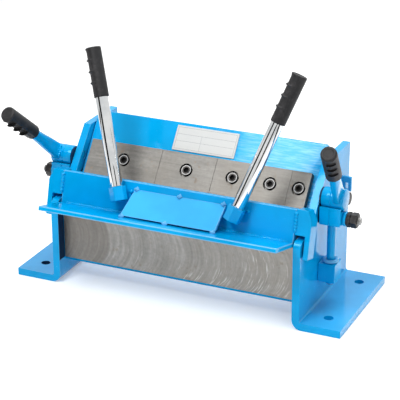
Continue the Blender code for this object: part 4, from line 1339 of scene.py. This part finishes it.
class BRAKE_OT_handles(bpy.types.Operator):
    """Leaf handles: hexagonal sockets with their welds, chromed rods and ribbed grips"""

    bl_idname = "brake.handles"
    bl_label = "Leaf handles"

    def execute(self, context):
        for side in LEFT_AND_RIGHT:
            name = side_name(side) + "_handle"
            handle_socket(name + "_socket")
            place, length = along_axis(name + "_rod")
            rod = turned(round_bar(HANDLE_ROD_R, length, BAR_EDGE), place, HANDLE_ROD_SIDES)
            replace(name + "_rod", "bright chrome", mesh=rod)
            add_grip(name + "_grip", 205, 1.4, HANDLE_GRIP)
        return {"FINISHED"}


def handle_socket(node):
    """A hexagonal socket and the short bead at its right side."""
    replace(node, "blue paint", edge=SOCKET_EDGE, segments=4)
    out, up = out_and_up("leaf_bar")
    centre = middle(node)
    seat = out * reach("leaf_bar", out)[1] + up * (centre.dot(up) + SOCKET_WELD_RISE)
    ends = [seat + Vector((centre.x + across, 0, 0)) for across in SOCKET_WELD_ACROSS]
    add_weld(node + "_weld", "leaf", ends, 2, 2.2)


# Stage

# Name, place, size, power and whether gloss shows it
LAMPS = (("softbox", (-0.20, -0.71, 1.17), 0.45, 11, True), ("top", (0.25, 0.55, 1.5), 1.1, 18, True),
         ("right", (1.5, -0.6, 1.3), 2.2, 11, False))
LAMP_TARGET = Vector((0, 0, 0.12))
# Azimuth, distance, width, foot and top
FLAGS = ((-38, 1.2, 0.58, 0.0, 1.05), (27, 1.2, 0.34, 0.0, 0.52))
WORLD_LIGHT = 0.42
FLOOR_GLOW = 0.28
FLOOR_SIZE = 14
FLOOR_DROP = 0.2 * MM
CAMERA_LENS = 142.5
CAMERA_SENSOR = 36
CAMERA_PLACE = Vector((0.767748, -1.6514955, 0.875354))
CAMERA_TARGET = Vector((0.021684, -0.0224415, 0.131313))
CAMERA_ROLL = math.radians(-0.246)


class BRAKE_OT_stage(bpy.types.Operator):
    """Pale floor, soft studio light and the camera"""

    bl_idname = "brake.stage"
    bl_label = "Stage"

    def execute(self, context):
        lay_floor()
        hang_flags()
        light_world()
        for name, place, size, power, glossy in LAMPS:
            hang_lamp(name, place, size, power).visible_glossy = glossy
        set_camera()
        context.scene.view_settings.view_transform = "Standard"
        return {"FINISHED"}


def stage_sheet(name, place, turn, width, height, material):
    """A flat stage piece that faces along its own Z."""
    mesh = bmesh.new()
    bmesh.ops.create_grid(mesh, x_segments=1, y_segments=1, size=0.5,
                          matrix=Matrix.Diagonal((width, height, 1, 1)))
    data = written(name, mesh)
    data.materials.append(material)
    piece = linked(name, data)
    piece.location = place
    piece.rotation_euler = turn
    return piece


def lay_floor():
    sheet = Sheet("floor")
    colour = sheet.mix(sheet.noise(1.5, 2, 0.5), (0.90, 0.90, 0.905), (0.92, 0.92, 0.92))
    material = sheet.finish(Base_Color=colour, Roughness=0.75, Specular_IOR_Level=0.15,
                            Emission_Color=sheet.seen() * FLOOR_GLOW, Emission_Strength=1.0)
    stage_sheet("floor", (0, 0, -FLOOR_DROP), (0, 0, 0), FLOOR_SIZE, FLOOR_SIZE, material)


def hang_flags():
    """Black flags that only polished surfaces see, as dark streaks."""
    sheet = Sheet("black flag")
    colour = sheet.mix(sheet.noise(3, 2, 0.5), (0.01, 0.01, 0.01), (0.02, 0.02, 0.02))
    black = sheet.finish(Base_Color=colour, Roughness=0.9, Specular_IOR_Level=0.0)
    for number, (azimuth, away, width, low, high) in enumerate(FLAGS):
        angle = math.radians(azimuth)
        place = (away * math.sin(angle), -away * math.cos(angle), (low + high) / 2)
        turn = (math.radians(90), 0, angle)
        flag = stage_sheet(f"flag_{number + 1}", place, turn, width, high - low, black)
        flag.visible_camera = flag.visible_diffuse = flag.visible_shadow = False


def light_world():
    """White where the camera, gloss or glass looks, and a plain level for light."""
    world = bpy.data.worlds.new("studio")
    bpy.context.scene.world = world
    world.use_nodes = True
    world.node_tree.nodes.clear()
    tree = Tree(world.node_tree)
    lit, white = [tree.node("ShaderNodeBackground", {}, {"Color": (1, 1, 1, 1), "Strength": level})
                  for level in (WORLD_LIGHT, 1.0)]
    mixed = tree.node("ShaderNodeMixShader", {}, {0: tree.seen(), 1: lit.out(0), 2: white.out(0)})
    tree.node("ShaderNodeOutputWorld", {}, {"Surface": mixed.out(0)})


def hang_lamp(name, place, size, power):
    data = bpy.data.lights.new(name, "AREA")
    data.shape = "SQUARE"
    data.size = size
    data.energy = power
    lamp = linked(name, data)
    lamp.location = place
    lamp.rotation_euler = (LAMP_TARGET - Vector(place)).to_track_quat("-Z", "Y").to_euler()
    return lamp


def set_camera():
    """The camera that was fitted to the photo."""
    data = bpy.data.cameras.new("camera")
    data.lens = CAMERA_LENS
    data.sensor_width = CAMERA_SENSOR
    data.clip_start = 0.05
    data.clip_end = 30
    camera = linked("camera", data)
    turn = (CAMERA_TARGET - CAMERA_PLACE).to_track_quat("-Z", "Y").to_matrix()
    turn = turn @ Matrix.Rotation(CAMERA_ROLL, 3, "Z")
    camera.matrix_world = Matrix.Translation(CAMERA_PLACE) @ turn.to_4x4()
    bpy.context.scene.camera = camera


# Panel and registration

PIECES = (BRAKE_OT_end_frames, BRAKE_OT_bed, BRAKE_OT_pivot_bolts, BRAKE_OT_guides, BRAKE_OT_clamp_beam,
          BRAKE_OT_fingers, BRAKE_OT_finger_screws, BRAKE_OT_label, BRAKE_OT_clamp_gear, BRAKE_OT_levers,
          BRAKE_OT_leaf, BRAKE_OT_handles, BRAKE_OT_stage)


class BRAKE_PT_looks(bpy.types.Panel):
    """Sizes, colours and pieces of the dressed brake"""

    bl_idname = "BRAKE_PT_looks"
    bl_label = "Finger brake"
    bl_space_type = "VIEW_3D"
    bl_region_type = "UI"
    bl_category = "Brake"

    def draw(self, context):
        for name in BrakeLooks.__annotations__:
            self.layout.prop(context.scene.brake_looks, name)
        for piece in PIECES:
            self.layout.operator(piece.bl_idname)


CLASSES = (BrakeLooks, *PIECES, BRAKE_PT_looks)


def register():
    for item in CLASSES:
        bpy.utils.register_class(item)
    bpy.types.Scene.brake_looks = PointerProperty(type=BrakeLooks)


def unregister():
    del bpy.types.Scene.brake_looks
    for item in reversed(CLASSES):
        bpy.utils.unregister_class(item)


def main():
    register()
    bpy.ops.brake.end_frames()
    bpy.ops.brake.bed()
    bpy.ops.brake.pivot_bolts()
    bpy.ops.brake.guides()
    bpy.ops.brake.clamp_beam()
    bpy.ops.brake.fingers()
    bpy.ops.brake.finger_screws()
    bpy.ops.brake.label()
    bpy.ops.brake.clamp_gear()
    bpy.ops.brake.levers()
    bpy.ops.brake.leaf()
    bpy.ops.brake.handles()
    bpy.ops.brake.stage()


if __name__ == "__main__":
    main()
